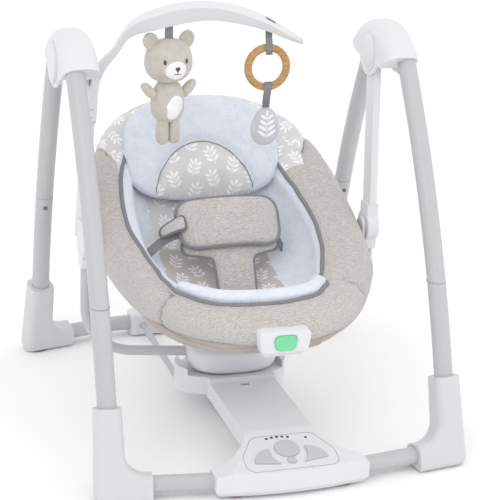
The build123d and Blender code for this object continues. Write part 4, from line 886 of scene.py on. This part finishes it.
# Head pillow with a printed half-round panel
PILLOW_HALF_W = 0.131
PILLOW_HALF_L = 0.088
PILLOW_T = 0.052
PILLOW_TILT = 62.4
PILLOW_BEND = 0.024
PILLOW_PRESSURE = 3.5
PILLOW_CAP = 0.009
GROOVE_DEEP = 0.009
GROOVE_WIDE = 0.08
HOLLOW_DEEP = 0.010
UNEVEN_RISE = 0.0020
PANEL_LOW = -0.085
PANEL_HALF_W = 0.081
PANEL_TALL = 0.092


def pillow_outline():
    pts = []
    for t in turns(120):
        c = cos(t)
        s = sin(t)
        power = 2 / (2.5 if s > 0 else 3.4)
        pts.append((PILLOW_HALF_W * bent(c, power) * (1 - 0.04 * s), PILLOW_HALF_L * bent(s, power)))
    return pts


def panel_reach(u, v):
    """Below 1 inside the printed half round."""
    return hypot(u / PANEL_HALF_W, (v - PANEL_LOW) / PANEL_TALL) if v > PANEL_LOW else 2.0


def pillow_height(u, v):
    """Groove around the printed panel, its hollow and the unevenness of the filling."""
    d = panel_reach(u, v)
    groove = -GROOVE_DEEP * exp(-((d - 1.0) / GROOVE_WIDE) ** 2)
    hollow = -HOLLOW_DEEP * max(1 - d, 0) ** 0.5
    return groove + hollow + UNEVEN_RISE * noise.noise(Vector((u * 34, v * 34, 3)))


def panel_paint(u, v, side):
    return 1 if (side > 0.5 and panel_reach(u, v) < 1) else 0


def panel_seam(u, v, side):
    return side > 0.5 and abs(panel_reach(u, v) - 1) < 0.03


def pillow_bend(u, v):
    return PILLOW_BEND * (u / PILLOW_HALF_W) ** 2


pillow_place = tilted_place(0.182, 0.383, PILLOW_TILT, pillow_bend, x=-0.013)
pillow = pad("head_pillow_soft", pillow_outline(), (0, 0.004), PILLOW_T / 2, pillow_place, [PLUSH, PRINT],
             power=2.6, rows=34, height=pillow_height, paint=panel_paint)
puff(pillow, PILLOW_PRESSURE, PILLOW_CAP, seam=panel_seam)
seam = []
for j in range(61):
    t = pi * j / 60
    at = pillow_place(PANEL_HALF_W * cos(t), PANEL_LOW + PANEL_TALL * sin(t), PILLOW_T / 4)
    near = min(pillow.data.vertices, key=lambda p: (p.co - at).length)
    seam.append(near.co.copy())
seam = even_line(seam, 60)
seam = [(a + b * 2 + c) / 4 for a, b, c in zip(seam, seam[1:], seam[2:])]
cord("pillow_seam", seam, SEAM_R, SEAM_R, PIPING, "seat", "webbing", up=Vector((0, -1, 0.3)), count=8)
placed(pillow, "seat", ["head_pillow"])

# Waist pad, crotch pad and straps
WAIST_HALF_U = 0.087
WAIST_HALF_V = 0.041
WAIST_LOW_U = WAIST_HALF_U * 0.94
WAIST_BEND = 0.016
WAIST_TILT = 50
CROTCH_HALF_U = 0.080
CROTCH_BEND = 0.012
CROTCH_UP = 0.007
CROTCH_TILT = 57
TAB_TILT = 38
PAD_PRESSURE = 3.0


def knit_pad(name, outline, centre, half_t, place, cap=None, rows=14, covers=()):
    """A flat knit pad; with a cap it is filled, and no point moves further than that."""
    obj = pad(name, outline, centre, half_t, place, [HEATHER], power=5, rows=rows)
    if cap:
        puff(obj, PAD_PRESSURE, cap)
    placed(obj, "seat", covers)


def binding(name, outline, place, radius, mat):
    """Piping sewn around the edge of a pad."""
    line = [place(u, v, 0) for u, v in outline]
    cord(name, line, radius, radius, mat, "seat", "webbing", up=Vector((0, -0.75, 0.65)), closed=True,
         count=10)


waist_place = tilted_place(0.026, 0.305, WAIST_TILT, lambda u, v: -WAIST_BEND * (u / WAIST_HALF_U) ** 2)
waist_outline = round_outline([(WAIST_HALF_U, WAIST_HALF_V), (-WAIST_HALF_U, WAIST_HALF_V),
                               (-WAIST_LOW_U, -WAIST_HALF_V), (WAIST_LOW_U, -WAIST_HALF_V)], 0.030)
knit_pad("waist_pad_soft", waist_outline, (0, 0), 0.0085, waist_place, cap=0.005, covers=["waist_pad"])
binding("waist_binding", waist_outline, waist_place, 0.0027, PIPING)



def crotch_bend(u, v):
    return CROTCH_UP - CROTCH_BEND * (u / CROTCH_HALF_U) ** 2


crotch_place = tilted_place(0.008, 0.246, CROTCH_TILT, crotch_bend)
crotch_corners = [(CROTCH_HALF_U, 0.034), (-CROTCH_HALF_U, 0.034), (-CROTCH_HALF_U, 0.014), (-0.033, 0.002),
                  (-0.030, -0.066), (0.030, -0.066), (0.033, 0.002), (CROTCH_HALF_U, 0.014)]
crotch_outline = round_outline(crotch_corners, 0.010)
knit_pad("crotch_pad_soft", crotch_outline, (0, 0.010), 0.0075, crotch_place, cap=0.004,
         covers=["crotch_pad"])
binding("crotch_binding", crotch_outline, crotch_place, 0.0026, PIPING)

STRAP_HALF = 0.0080
STRAP_HALF_T = 0.0011
STRAP_ROUTES = {
    "left": [(-0.060, 0.0, 0.0), (-0.104, -0.002, -0.012), (-0.146, -0.012, -0.040)],
    "right": [(0.058, 0.0, 0.0), (0.080, 0.012, -0.018), (0.100, 0.020, -0.050)],
}
for label, route in STRAP_ROUTES.items():
    side = 1 if label == "right" else -1
    start = waist_place(side * 0.060, -0.006, -0.008)
    line = smooth_path([Vector((x, start.y + dy, start.z + dz)) for x, dy, dz in route], 10)
    cord("waist_strap_" + label, line, STRAP_HALF, STRAP_HALF_T, WEBBING, "seat", "webbing",
         ["waist_straps"] if side > 0 else [], up=Vector((side * 0.5, -0.6, 0.6)), count=20, power=6)

# Folded tab at the left end of the waist pad
TAB_U = -0.094
TAB_V = 0.004
tab_place = tilted_place(0.030, 0.292, TAB_TILT, lambda u, v: 0.010 * sin(u * 60))
tab_corners = [(0.020, 0.013), (-0.020, 0.008), (-0.020, -0.008), (0.020, -0.013)]
tab_outline = [(u + TAB_U, v + TAB_V + u * 0.25) for u, v in round_outline(tab_corners, 0.008)]
knit_pad("waist_tab_soft", tab_outline, (TAB_U, TAB_V), 0.0045, tab_place, rows=8)
binding("waist_tab_binding", tab_outline, tab_place, 0.0024, PIPING_DARK)

# Fabric under the padded rim at the front left, over the pan
SKIRT_LIFT = 0.0022
SKIRT_T = 0.0016
SKIRT_FIRST_S = -0.0235
SKIRT_RUN = 0.300
SKIRT_END_TURN = radians(34)
PAN_TOP_H = -0.0274
PAN_HALF_L = 0.290
PAN_POWER = 2.6


def pan_half(s):
    """Half width of the pan at a place along the rim's arc."""
    u = min(abs(s - RIM_HALF_L) / PAN_HALF_L, 1.0)
    square = RIM_HEAD_SQUARE if s > RIM_HALF_L else RIM_SQUARE
    taper = 1 - RIM_TAPER * (s - RIM_HALF_L) / PAN_HALF_L
    return RIM_HALF_W * (1 - u ** square) ** (1 / square) * taper


def pan_point(s, turn, lift):
    """Outer face of the pan: turn runs from the left edge over the bottom to the right edge."""
    fall = pan_depth(s) + PAN_TOP_H + lift
    x = -(pan_half(s) + lift) * bent(cos(turn), 2 / PAN_POWER)
    return rim_place(x, s, PAN_TOP_H - fall * max(sin(turn), 0.0) ** (2 / PAN_POWER))


def build_skirt():
    """Cloth over the pan: full round at the front, narrowing towards the left edge."""
    rows = 40
    cols = 26
    verts = []
    for i in range(rows + 1):
        s = SKIRT_FIRST_S + SKIRT_RUN * i / rows
        ease = (i / rows) ** 0.35
        reach = pi * (1 - ease) + SKIRT_END_TURN * ease
        for j in range(cols + 1):
            p = pan_point(s, reach * j / cols, SKIRT_LIFT)
            verts.append(p + Vector((0, 0, 0.0010 * noise.noise(p * 40))))
    faces = []
    for i in range(rows):
        for j in range(cols):
            a = i * (cols + 1) + j
            faces.append((a, a + 1, a + cols + 2, a + cols + 1))
    faces.append(tuple(range(cols, -1, -1)))
    obj = mesh_object("seat_skirt", verts, faces, [UNDERSIDE])
    thick = obj.modifiers.new("thickness", "SOLIDIFY")
    thick.thickness = SKIRT_T
    thick.offset = 0
    placed(obj, "seat")


build_skirt()

# Welts that close the slit between the padded rim and the pan
WELT_R = 0.0058
WELT_IN = 0.002
WELT_UP = 0.0045
BACK_WELT_UP = 0.0080
BACK_WELT_HALF = 0.0095
BACK_WELT_HALF_H = 0.0085
PAN_FIRST_S = -0.0205
PAN_LAST_S = 0.470
welt_turns = [(1, 1 - k / 50) for k in range(51)] + [(-1, k / 50) for k in range(51)]
welt_points = []
for side, share in welt_turns:
    s = PAN_FIRST_S + (PAN_LAST_S - PAN_FIRST_S) * share ** 1.6
    welt_points.append(rim_place(side * (pan_half(s) - WELT_IN), s, PAN_TOP_H + WELT_UP))
cord("rim_welt", even_line(welt_points, 150), WELT_R, WELT_R, UNDERSIDE, "seat", "beige_fabric", count=12)
back_half = pan_half(PAN_LAST_S) + WELT_IN
back_points = [rim_place(back_half * (1 - k / 15), PAN_LAST_S + 0.005, PAN_TOP_H + BACK_WELT_UP)
               for k in range(31)]
cord("back_welt", back_points, BACK_WELT_HALF, BACK_WELT_HALF_H, UNDERSIDE, "seat", "beige_fabric",
     up=rim_frame(PAN_LAST_S)[2], count=14)

# Toy bar, whose front face takes a greyer copy of the white plastic as painted shade: line in x and z, then
# shares of its length with the half thickness and half depth there in tenths of a millimetre and the roll of
# the face in degrees
BAR_LINE = [(-0.2185, 0.4624), (-0.2135, 0.505), (-0.203, 0.542), (-0.1785, 0.5716), (-0.143, 0.610),
            (-0.045, 0.632), (0.045, 0.617), (0.128, 0.578)]
BAR_Y = 0.086
BAR_SHARES = (0, 0.06, 0.11, 0.20, 0.276, 0.326, 0.37, 0.409, 0.445, 0.50, 0.622, 0.70, 0.768, 0.845, 0.886,
              0.928, 0.97, 1)
BAR_THICK = (100, 98, 74, 64, 49, 56, 90, 112, 118, 125, 108, 97, 81, 65, 50, 41, 31, 20)
BAR_DEEP = (100, 98, 74, 66, 51, 60, 115, 168, 182, 180, 188, 190, 190, 175, 158, 138, 105, 55)
BAR_ROLL = (0, 0, 0, 0, 0, 0, 0, 1, 2, 4, 6, 9, 12, 15, 17, 18, 19, 20)
BAR_EASE = (-0.012, -0.006, 0, 0.006, 0.012)
BAR_SHADE_Z = 0.53
BAR_SHADE_LOOK = -0.70
BAR_SQUARE = 14


def bar_half(sizes, t):
    """Half size of the bar at a share of its length, from tenths of a millimetre."""
    near = [np.interp(t + step, BAR_SHARES, sizes) for step in BAR_EASE]
    return 1e-4 * sum(near) / len(near)


bar_points = even_line(smooth_path([(x, BAR_Y, z) for x, z in BAR_LINE], 16), 110)


def bar_half_t(t):
    return bar_half(BAR_THICK, t)


def bar_half_y(t):
    return bar_half(BAR_DEEP, t)


def bar_front(t):
    """The way the bar's front face looks, rolled down towards the tip."""
    roll = radians(np.interp(t, BAR_SHARES, BAR_ROLL))
    return Vector((0, -cos(roll), -sin(roll)))


toy_bar = sweep("toy_bar_shell", bar_points, bar_half_t, bar_half_y, [WHITE, BAR_FACE_PAINTED_SHADE], up=bar_front,
                count=48, power=BAR_SQUARE)
# faces that look forward and down, high on the bar, get the greyer copy as painted shade
for poly in toy_bar.data.polygons:
    poly.material_index = 1 if poly.normal.y < BAR_SHADE_LOOK and poly.center.z > BAR_SHADE_Z else 0
placed(toy_bar, "toy_bar", ["toy_bar"])

# Collar lines on the bar's post, thin grey rings of painted shade
COLLAR_R = 0.0102
COLLAR_RISE = 0.0007
COLLAR_Z = (0.471, 0.482)
for k, height in enumerate(COLLAR_Z):
    near = min(bar_points, key=lambda p: abs(p.z - height))
    line = [near + Vector((COLLAR_R * cos(t), COLLAR_R * sin(t), 0)) for t in turns(40)]
    cord("bar_collar_line_%d" % k, line, COLLAR_RISE, COLLAR_RISE, BUTTON_GREY_AND_SEAM_SHADE, "toy_bar", "white_plastic",
         closed=True, count=8)

# Slot over the ring's strap, on the top of the bar: a thin dark strip that is painted shade for the opening
SLOT_SHARE = 0.86
SLOT_FORWARD = 0.40
SLOT_FIRST = 93
SLOT_LAST = 97
SLOT_HALF_T = 0.0006
SLOT_HALF_W = 0.0040
slot_points = []
for i in range(SLOT_FIRST, SLOT_LAST + 1):
    share = i / (len(bar_points) - 1)
    along = (bar_points[i + 1] - bar_points[i - 1]).normalized()
    top = bar_front(share).cross(along).normalized()
    front = along.cross(top)
    slot_points.append(bar_points[i] + top * bar_half_t(share) - front * (SLOT_FORWARD * bar_half_y(share)))
cord("bar_slot_painted_shade", slot_points, SLOT_HALF_T, SLOT_HALF_W, RUBBER_AND_SLOT_SHADE, "toy_bar", "grey_plastic",
     up=bar_front(SLOT_SHARE), power=5)

# Rounded cap over the drive: share of its height and size there
DRIVE_LEVELS = ((0.0, 0.80), (0.05, 0.90), (0.22, 0.962), (0.50, 0.995), (0.76, 1.0), (0.90, 0.98),
                (0.97, 0.93), (1.0, 0.84))
DRIVE_POWER = 0.80
drive_low, drive_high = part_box("drive_hub")
drive_mid = (drive_low + drive_high) / 2
drive_half = (drive_high - drive_low) / 2
drive_rings = []
for rise, grow in DRIVE_LEVELS:
    z = drive_low.z + (drive_high.z - drive_low.z) * rise
    ring_points = []
    for t in turns(72):
        x = drive_mid.x + drive_half.x * bent(cos(t), DRIVE_POWER) * grow
        y = drive_mid.y + drive_half.y * bent(sin(t), DRIVE_POWER) * grow
        ring_points.append(Vector((x, y, z)))
    drive_rings.append(ring_points)
drive_cap = ring_mesh("drive_hub_shell", drive_rings, [WHITE])
smooth_cap = drive_cap.modifiers.new("rounding", "SUBSURF")
smooth_cap.levels = 1
smooth_cap.render_levels = 1
placed(drive_cap, "swing_frame", ["drive_hub"])

# Wooden ring
ring_low, ring_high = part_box("toy_ring")
ring_centre = (ring_low + ring_high) / 2
RING_BAND = 0.006
RING_HALF_Y = 0.0054
ring_r = (ring_high.x - ring_low.x) / 2 - RING_BAND
ring_line = [ring_centre + Vector((ring_r * cos(t), 0, ring_r * sin(t))) for t in turns(96)]
cord("toy_ring_turned", ring_line, RING_BAND, RING_HALF_Y, WOOD, "ring_toy", "wood", ["toy_ring"],
     up=BACKWARDS, closed=True, count=24, power=2.8)


# Bear
DENT_REACH = 0.72
NAP_RATE = 90


def lump(name, centre, radii, mat, lean=None, squash=2.0, body="bear", rough=0.0006, swell=0.0, dent=0.0,
         fill=None, covers=()):
    """A stuffed lump: a fine ball with its own radii, wider below by swell, with a dent in its front."""
    rows = 28
    turn = lean or Matrix.Identity(3)
    rings = []
    for i in range(1, rows):
        a = pi * i / rows
        ring_points = []
        for b in turns(40):
            d = Vector((sin(a) * cos(b), sin(a) * sin(b), cos(a)))
            d = d * (abs(d.x) ** squash + abs(d.y) ** squash + abs(d.z) ** squash) ** (-1 / squash)
            wide = 1 - swell * d.z
            p = Vector((d.x * radii[0] * wide, d.y * radii[1] * wide, d.z * radii[2]))
            if dent and d.y < 0:
                p.y += dent * max(1 - (hypot(d.x, d.z) / DENT_REACH) ** 2, 0) ** 0.7
            p = turn @ p + d * rough * noise.noise((centre + p) * NAP_RATE)
            ring_points.append(centre + p)
        rings.append(ring_points)
    placed(ring_mesh(name, rings, [mat]), body, covers)


def spin(axis, degrees):
    return Matrix.Rotation(radians(degrees), 3, axis)


head_low, head_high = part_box("bear_head")
body_low, body_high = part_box("bear_body")
limb_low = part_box("bear_limbs")[0]
BEAR_TURN = spin("Z", 10)
BEAR_AXIS = Vector((head_low + head_high) / 2)
HEAD_R = Vector((0.0382, 0.0310, 0.0350))
HEAD_SQUASH = 2.25
HEAD_SWELL = 0.03
head_z = (head_low.z + head_high.z) / 2 - 0.0085
trunk_z = (body_low.z + body_high.z) / 2 - 0.0065


def bear_at(u, out, z):
    """A place on the turned bear: u across, out to its front."""
    spot = BEAR_TURN @ Vector((u, -out, 0))
    return Vector((BEAR_AXIS.x + spot.x, BEAR_AXIS.y + spot.y, z))


def on_face(u, w):
    """A place on the front of the head."""
    wide = 1 - HEAD_SWELL * w / HEAD_R.z
    left = 1 - abs(u / (HEAD_R.x * wide)) ** HEAD_SQUASH - abs(w / HEAD_R.z) ** HEAD_SQUASH
    return bear_at(u, HEAD_R.y * wide * max(left, 0) ** (1 / HEAD_SQUASH), head_z + w)


MUZZLE_R = Vector((0.0178, 0.0085, 0.0150))
MUZZLE_W = -0.0095
MUZZLE_PROUD = 0.0003
muzzle_out = (on_face(0, MUZZLE_W) - bear_at(0, 0, head_z + MUZZLE_W)).length - 0.003


def on_muzzle(u, w):
    """A place just above the muzzle, measured from its middle."""
    left = max(1 - (u / MUZZLE_R.x) ** 2 - (w / MUZZLE_R.z) ** 2, 0) ** 0.5
    return bear_at(u, muzzle_out + MUZZLE_R.y * left + MUZZLE_PROUD, head_z + MUZZLE_W + w)


def bear_lump(name, at, radii, mat, turn=None, **more):
    """A lump that faces the bear's way, turned further where turn names an axis and degrees."""
    lump(name, at, radii, mat, lean=BEAR_TURN @ spin(*turn) if turn else BEAR_TURN, **more)


bear_lump("bear_head_soft", bear_at(0, 0, head_z), HEAD_R, BEAR_CLOTH, squash=HEAD_SQUASH, swell=HEAD_SWELL,
          fill=0.8, covers=["bear_head"])
bear_lump("bear_body_soft", bear_at(0, 0, trunk_z + 0.004), (0.0262, 0.0215, 0.0350), BEAR_CLOTH,
          squash=2.5, swell=0.10, fill=0.8, covers=["bear_body"])
bear_lump("bear_belly", bear_at(0.002, 0.0150, trunk_z - 0.002), (0.0165, 0.0085, 0.0225), BEAR_WHITE,
          turn=("Y", 14))
for side, label in ((1, "right"), (-1, "left")):
    bear_lump("bear_ear_" + label, bear_at(side * 0.0305, 0.0, head_z + 0.0315), (0.0128, 0.0075, 0.0150),
              BEAR_CLOTH, turn=("Y", side * 24), dent=0.0075, fill=0.6,
              covers=["bear_ears"] if side > 0 else ())
    bear_lump("bear_eye_" + label, on_face(side * 0.0185, 0.0035), (0.0024, 0.0015, 0.0040), BEAR_DARK,
              turn=("Z", side * 28), rough=0)
    bear_lump("bear_arm_" + label, bear_at(side * 0.0335, 0.003, trunk_z + 0.0225), (0.0078, 0.0085, 0.0175),
              BEAR_CLOTH, turn=("Y", side * 44), squash=2.3, fill=0.7,
              covers=["bear_limbs"] if side > 0 else ())
    bear_lump("bear_leg_" + label, bear_at(side * 0.0098, 0.003, limb_low.z + 0.0215),
              (0.0092, 0.0100, 0.0235), BEAR_CLOTH, squash=3.4, swell=0.06, fill=0.7)
bear_lump("bear_muzzle", bear_at(0, muzzle_out, head_z + MUZZLE_W), MUZZLE_R, BEAR_WHITE, rough=0, fill=0.6)
MOUTH_R = 0.0005
NOSE = ((-0.0016, 0.0036, 0.0023), (0.0016, 0.0036, 0.0023), (0.0, 0.0014, 0.0022))
for k, (u, w, size) in enumerate(NOSE):
    bear_lump("bear_nose_%d" % (k + 1), on_muzzle(u, w), (size, 0.0016, size * 1.1), BEAR_DARK, rough=0)
mouth_lines = {"middle": [(0, 0.0004 - 0.0012 * k) for k in range(5)]}
for label, side in (("left", -1), ("right", 1)):
    mouth_lines[label] = [(side * 0.0008 * k, -0.0044 - 0.0011 * sin(pi * k / 7)) for k in range(8)]
for label, line in mouth_lines.items():
    cord("bear_mouth_" + label, [on_muzzle(u, w) for u, w in line], MOUTH_R, MOUTH_R, BEAR_DARK, "bear",
         "bear_fabric", up=Vector((0, -1, 0.01)), count=8)


# Straps of the toys

def toy_strap(name, line, half, half_t, body, covers=()):
    cord(name, line, half, half_t, WEBBING, body, "webbing", covers, up=BACKWARDS, count=20, power=5)


strap_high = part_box("bear_strap")[1]
strap_foot = Vector((BEAR_AXIS.x, BAR_Y, head_z + HEAD_R.z - 0.003))
strap_head = Vector((BEAR_AXIS.x, BAR_Y, strap_high.z + 0.002))
bear_line = [strap_foot.lerp(strap_head, k / 8) for k in range(9)]
toy_strap("bear_strap_woven", bear_line, 0.0065, 0.0014, "bear", ["bear_strap"])

# Ring straps: places in y from the bar's middle and in z from the ring's edge
TOP_STEPS = ((-0.0075, -0.016), (-0.0072, -0.002), (-0.0025, 0.010), (-0.0005, 0.024))
LOW_STEPS = ((-0.0075, 0.016), (-0.0072, 0.002), (-0.0030, -0.010), (-0.0005, -0.027))
top_line = [Vector((ring_centre.x, BAR_Y + dy, ring_high.z + dz)) for dy, dz in TOP_STEPS]
low_line = [Vector((ring_centre.x, BAR_Y + dy, ring_low.z + dz)) for dy, dz in LOW_STEPS]
toy_strap("ring_strap_top", top_line, 0.0056, STRAP_HALF_T, "ring_toy", ["ring_straps"])
toy_strap("ring_strap_low", low_line, 0.0062, STRAP_HALF_T, "ring_toy")

# Leaf pendant with a stitched sprig
leaf_low, leaf_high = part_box("leaf_pendant")
leaf_mid = (leaf_low + leaf_high) / 2
leaf_half = (leaf_high - leaf_low) / 2
LEAF_HALF_T = 0.0075
STITCH_U = 0.001
STITCH_T = 0.0006
STITCH_UP = 0.0045
TIP_V = 0.0225


def leaf_place(u, v, h):
    return leaf_mid + Vector((u, -h, v))


def leaf_outline():
    pts = []
    for t in turns(96):
        s = sin(t)
        taper = 1 - 0.16 * s - 0.10 * s * s
        pts.append((leaf_half.x * bent(cos(t), SOFT_POWER) * taper, leaf_half.z * s))
    return pts


leaf = pad("leaf_pendant_soft", leaf_outline(), (0, -0.004), LEAF_HALF_T, leaf_place, [PENDANT])
placed(leaf, "leaf", ["leaf_pendant"])


def leaf_front(u, v):
    """Height of the leaf's front face, a hair above the cloth."""
    r = hypot(u / leaf_half.x, v / leaf_half.z)
    return LEAF_HALF_T * max(1 - min(r, 1) ** 3, 0) ** 0.5 + 0.0002


stem_steps = [-0.022 + 0.0041 * k for k in range(11)]
stem_line = [leaf_place(STITCH_U, v, leaf_front(STITCH_U, v)) for v in stem_steps]
cord("leaf_stem", stem_line, STITCH_T, STITCH_T, THREAD_WHITE, "leaf", "bear_fabric", up=BACKWARDS, count=8)
for k, v in enumerate((-0.015, -0.006, 0.003, 0.012)):
    size = 0.0086 - 0.0009 * k
    for side, label in ((1, "r"), (-1, "l")):
        at = leaf_place(STITCH_U + side * size * 0.95, v + STITCH_UP, leaf_front(size, v + STITCH_UP))
        lump("leaf_stitch_%d_%s" % (k, label), at, (size, STITCH_T, 0.0025), THREAD_WHITE,
             lean=spin("Y", -side * 36), body="leaf", rough=0)
tip = leaf_place(STITCH_U, TIP_V, leaf_front(0, TIP_V))
lump("leaf_stitch_tip", tip, (0.0022, STITCH_T, 0.0048), THREAD_WHITE, body="leaf", rough=0)

# Panel marks
PANEL_FOOT = Vector((0, -0.340, 0.042))
PANEL_SLOPE = atan2(24, 94)
panel_up = Vector((0, cos(PANEL_SLOPE), sin(PANEL_SLOPE)))
panel_out = Vector((0, -sin(PANEL_SLOPE), cos(PANEL_SLOPE)))


def on_panel(u, v, h):
    """A place on the sloping panel: across, up the slope and above it."""
    return PANEL_FOOT + Vector((u, 0, 0)) + panel_up * v + panel_out * h


LAMP_RISE = 0.0009
LAMP_SINK = 0.0004


def panel_lamp(name, u, v, radius):
    """A low dark dome on the panel."""
    rings = []
    for i in range(7):
        a = pi / 2 * i / 6.5
        wide = radius * cos(a)
        height = LAMP_RISE * sin(a) - LAMP_SINK
        rings.append([on_panel(u + wide * cos(t), v + wide * sin(t), height) for t in turns(24)])
    placed(ring_mesh(name, rings, [DARK_SPOT]), "front_frame")


for k in range(5):
    panel_lamp("level_light_%d" % (k + 1), -0.024 + 0.0083 * k, 0.0765 + 0.0022 * sin(pi * k / 4),
               0.0027)
panel_lamp("timer_light", 0.036, 0.0715, 0.0025)

# Groove around the fascia, a thin grey line of painted shade
FASCIA = [(-0.0711, 0.0059), (0.0711, 0.0059), (0.0711, 0.0400), (0.0471, 0.0821), (-0.0471, 0.0821),
          (-0.0711, 0.0400)]
FASCIA_R = 0.015
GROOVE_HALF = 0.0005
GROOVE_HALF_H = 0.0003


def rounded_line(corners, radius):
    """A closed flat line through the corners, each rounded by an arc."""
    out = []
    for i, corner in enumerate(corners):
        here = Vector(corner)
        before = (Vector(corners[i - 1]) - here).normalized()
        after = (Vector(corners[(i + 1) % len(corners)]) - here).normalized()
        half = before.angle(after) / 2
        centre = here + (before + after).normalized() * (radius / sin(half))
        first = here + before * (radius / tan(half)) - centre
        last = here + after * (radius / tan(half)) - centre
        for k in range(ARC_STEPS + 1):
            out.append(centre + first.lerp(last, k / ARC_STEPS).normalized() * radius)
    return out


groove = [on_panel(p.x, p.y, 0.0001) for p in rounded_line(FASCIA, FASCIA_R)]
cord("fascia_groove", groove, GROOVE_HALF, GROOVE_HALF_H, SEAM_PAINTED_SHADE, "front_frame", "grey_plastic",
     up=panel_out, closed=True, count=8)

# Seams of the leg tubes, thin grey rings of painted shade
FRONT_SEAM_Z = 0.265
REAR_SEAM_Z = 0.299
TUBE_R = 0.0143
SEAM_RISE = 0.0004
SEAM_HALF_Z = 0.0008
SEAM_NEAR = 0.0003


def leg_seam(label, seam_z, body):
    """A thin raised grey line where the two tubes of a leg meet, painted shade for the joint."""
    leg = nodes[label]
    points = [leg.matrix_world @ v.co for v in leg.data.vertices]
    points = [p for p in points if abs(p.z - seam_z) < SEAM_NEAR]
    centre = sum(points, Vector()) / len(points)
    stretch = max(abs(p.y - centre.y) for p in points) / TUBE_R
    line = []
    for t in turns(64):
        x = centre.x + TUBE_R * cos(t)
        line.append(Vector((x, centre.y + TUBE_R * stretch * sin(t), seam_z)))
    cord(label + "_seam", line, SEAM_RISE, SEAM_HALF_Z, SEAM_PAINTED_SHADE, body, "grey_tube", closed=True, count=8)


for label in ("right", "left"):
    leg_seam("front_leg_" + label, FRONT_SEAM_Z, "front_frame")
    leg_seam("rear_leg_" + label, REAR_SEAM_Z, "rear_frame")

# Domed caps on the hubs and fold buttons
CAP_HALF_Y = 0.0245
CAP_HALF_Z = 0.0285
CAP_SINK = 0.0006
HUB_CAP_RISE = 0.0070
BUTTON_CAP_RISE = 0.0035
BUTTON_CAP_SHARE = 0.94
PIVOT_Y = 0.045
PIVOT_Z = 0.570


def cap_dome(name, x, way, rise, grow, body):
    """A shallow oval dome on a face at x that looks along way."""
    rings = []
    for i in range(10):
        a = pi / 2 * i / 9.4
        at = x + way * (rise * sin(a) - CAP_SINK)
        half_y = CAP_HALF_Y * grow * cos(a)
        half_z = CAP_HALF_Z * grow * cos(a)
        rings.append([Vector((at, PIVOT_Y + half_y * cos(t), PIVOT_Z + half_z * sin(t)))
                      for t in turns(48)])
    placed(ring_mesh(name, rings, [WHITE]), body)


for label, side in (("right", 1), ("left", -1)):
    shell_low, shell_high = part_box("hub_shell_" + label)
    button_low, button_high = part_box("fold_button_" + label)
    inner_x = shell_low.x if side > 0 else shell_high.x
    outer_x = button_high.x if side > 0 else button_low.x
    cap_dome("hub_inner_cap_" + label, inner_x, -side, HUB_CAP_RISE, 1.0, "front_frame")
    cap_dome("fold_button_dome_" + label, outer_x, side, BUTTON_CAP_RISE, BUTTON_CAP_SHARE,
             "fold_button_" + label)


# Floor, lights, camera

def lamp(name, at, size, power):
    """A square lamp that looks at the middle of the swing."""
    data = bpy.data.lights.new(name, "AREA")
    data.energy = power
    data.size = size
    obj = bpy.data.objects.new(name, data)
    obj.location = at
    obj.rotation_euler = (LAMP_LOOK - Vector(at)).to_track_quat("-Z", "Y").to_euler()
    bpy.context.scene.collection.objects.link(obj)
    return obj


LAMP_LOOK = Vector((0, 0, 0.25))
FLOOR_HALF = 12
FLOOR_Z = -0.0005
floor_mat = Net("pale_floor", (0.98, 0.98, 0.98), 0.9, 0.0).mat
floor_corners = [(x * FLOOR_HALF, y * FLOOR_HALF, FLOOR_Z) for x, y in ((-1, -1), (1, -1), (1, 1), (-1, 1))]
floor = mesh_object("studio_floor", floor_corners, [(0, 1, 2, 3)], [floor_mat], smooth=False)
key = lamp("key_light", (-1.6, -2.2, 2.8), 2.2, KEY_POWER)
fill = lamp("fill_light", (2.4, -1.6, 1.6), 2.4, FILL_POWER)

world = bpy.data.worlds.new("studio_world")
bpy.context.scene.world = world
world.use_nodes = True
background = world.node_tree.nodes["Background"]
background.inputs["Color"].default_value = (1, 1, 1, 1)
background.inputs["Strength"].default_value = WORLD_LEVEL

camera_data = bpy.data.cameras.new("camera")
camera_data.lens = CAMERA_LENS
camera_data.sensor_width = 36
camera = bpy.data.objects.new("camera", camera_data)
bpy.context.scene.collection.objects.link(camera)
back = Vector((sin(CAMERA_AZIMUTH) * cos(CAMERA_ELEVATION),
               -cos(CAMERA_AZIMUTH) * cos(CAMERA_ELEVATION), sin(CAMERA_ELEVATION)))
right = (-back).cross(Vector((0, 0, 1))).normalized()
above = right.cross(-back)
turned_right = right * cos(CAMERA_ROLL) + above * sin(CAMERA_ROLL)
turned_up = above * cos(CAMERA_ROLL) - right * sin(CAMERA_ROLL)
place = Matrix((turned_right, turned_up, back)).transposed().to_4x4()
place.translation = CAMERA_TARGET + back * CAMERA_DISTANCE
camera.matrix_world = place
bpy.context.scene.camera = camera
bpy.context.scene.view_settings.view_transform = "Standard"
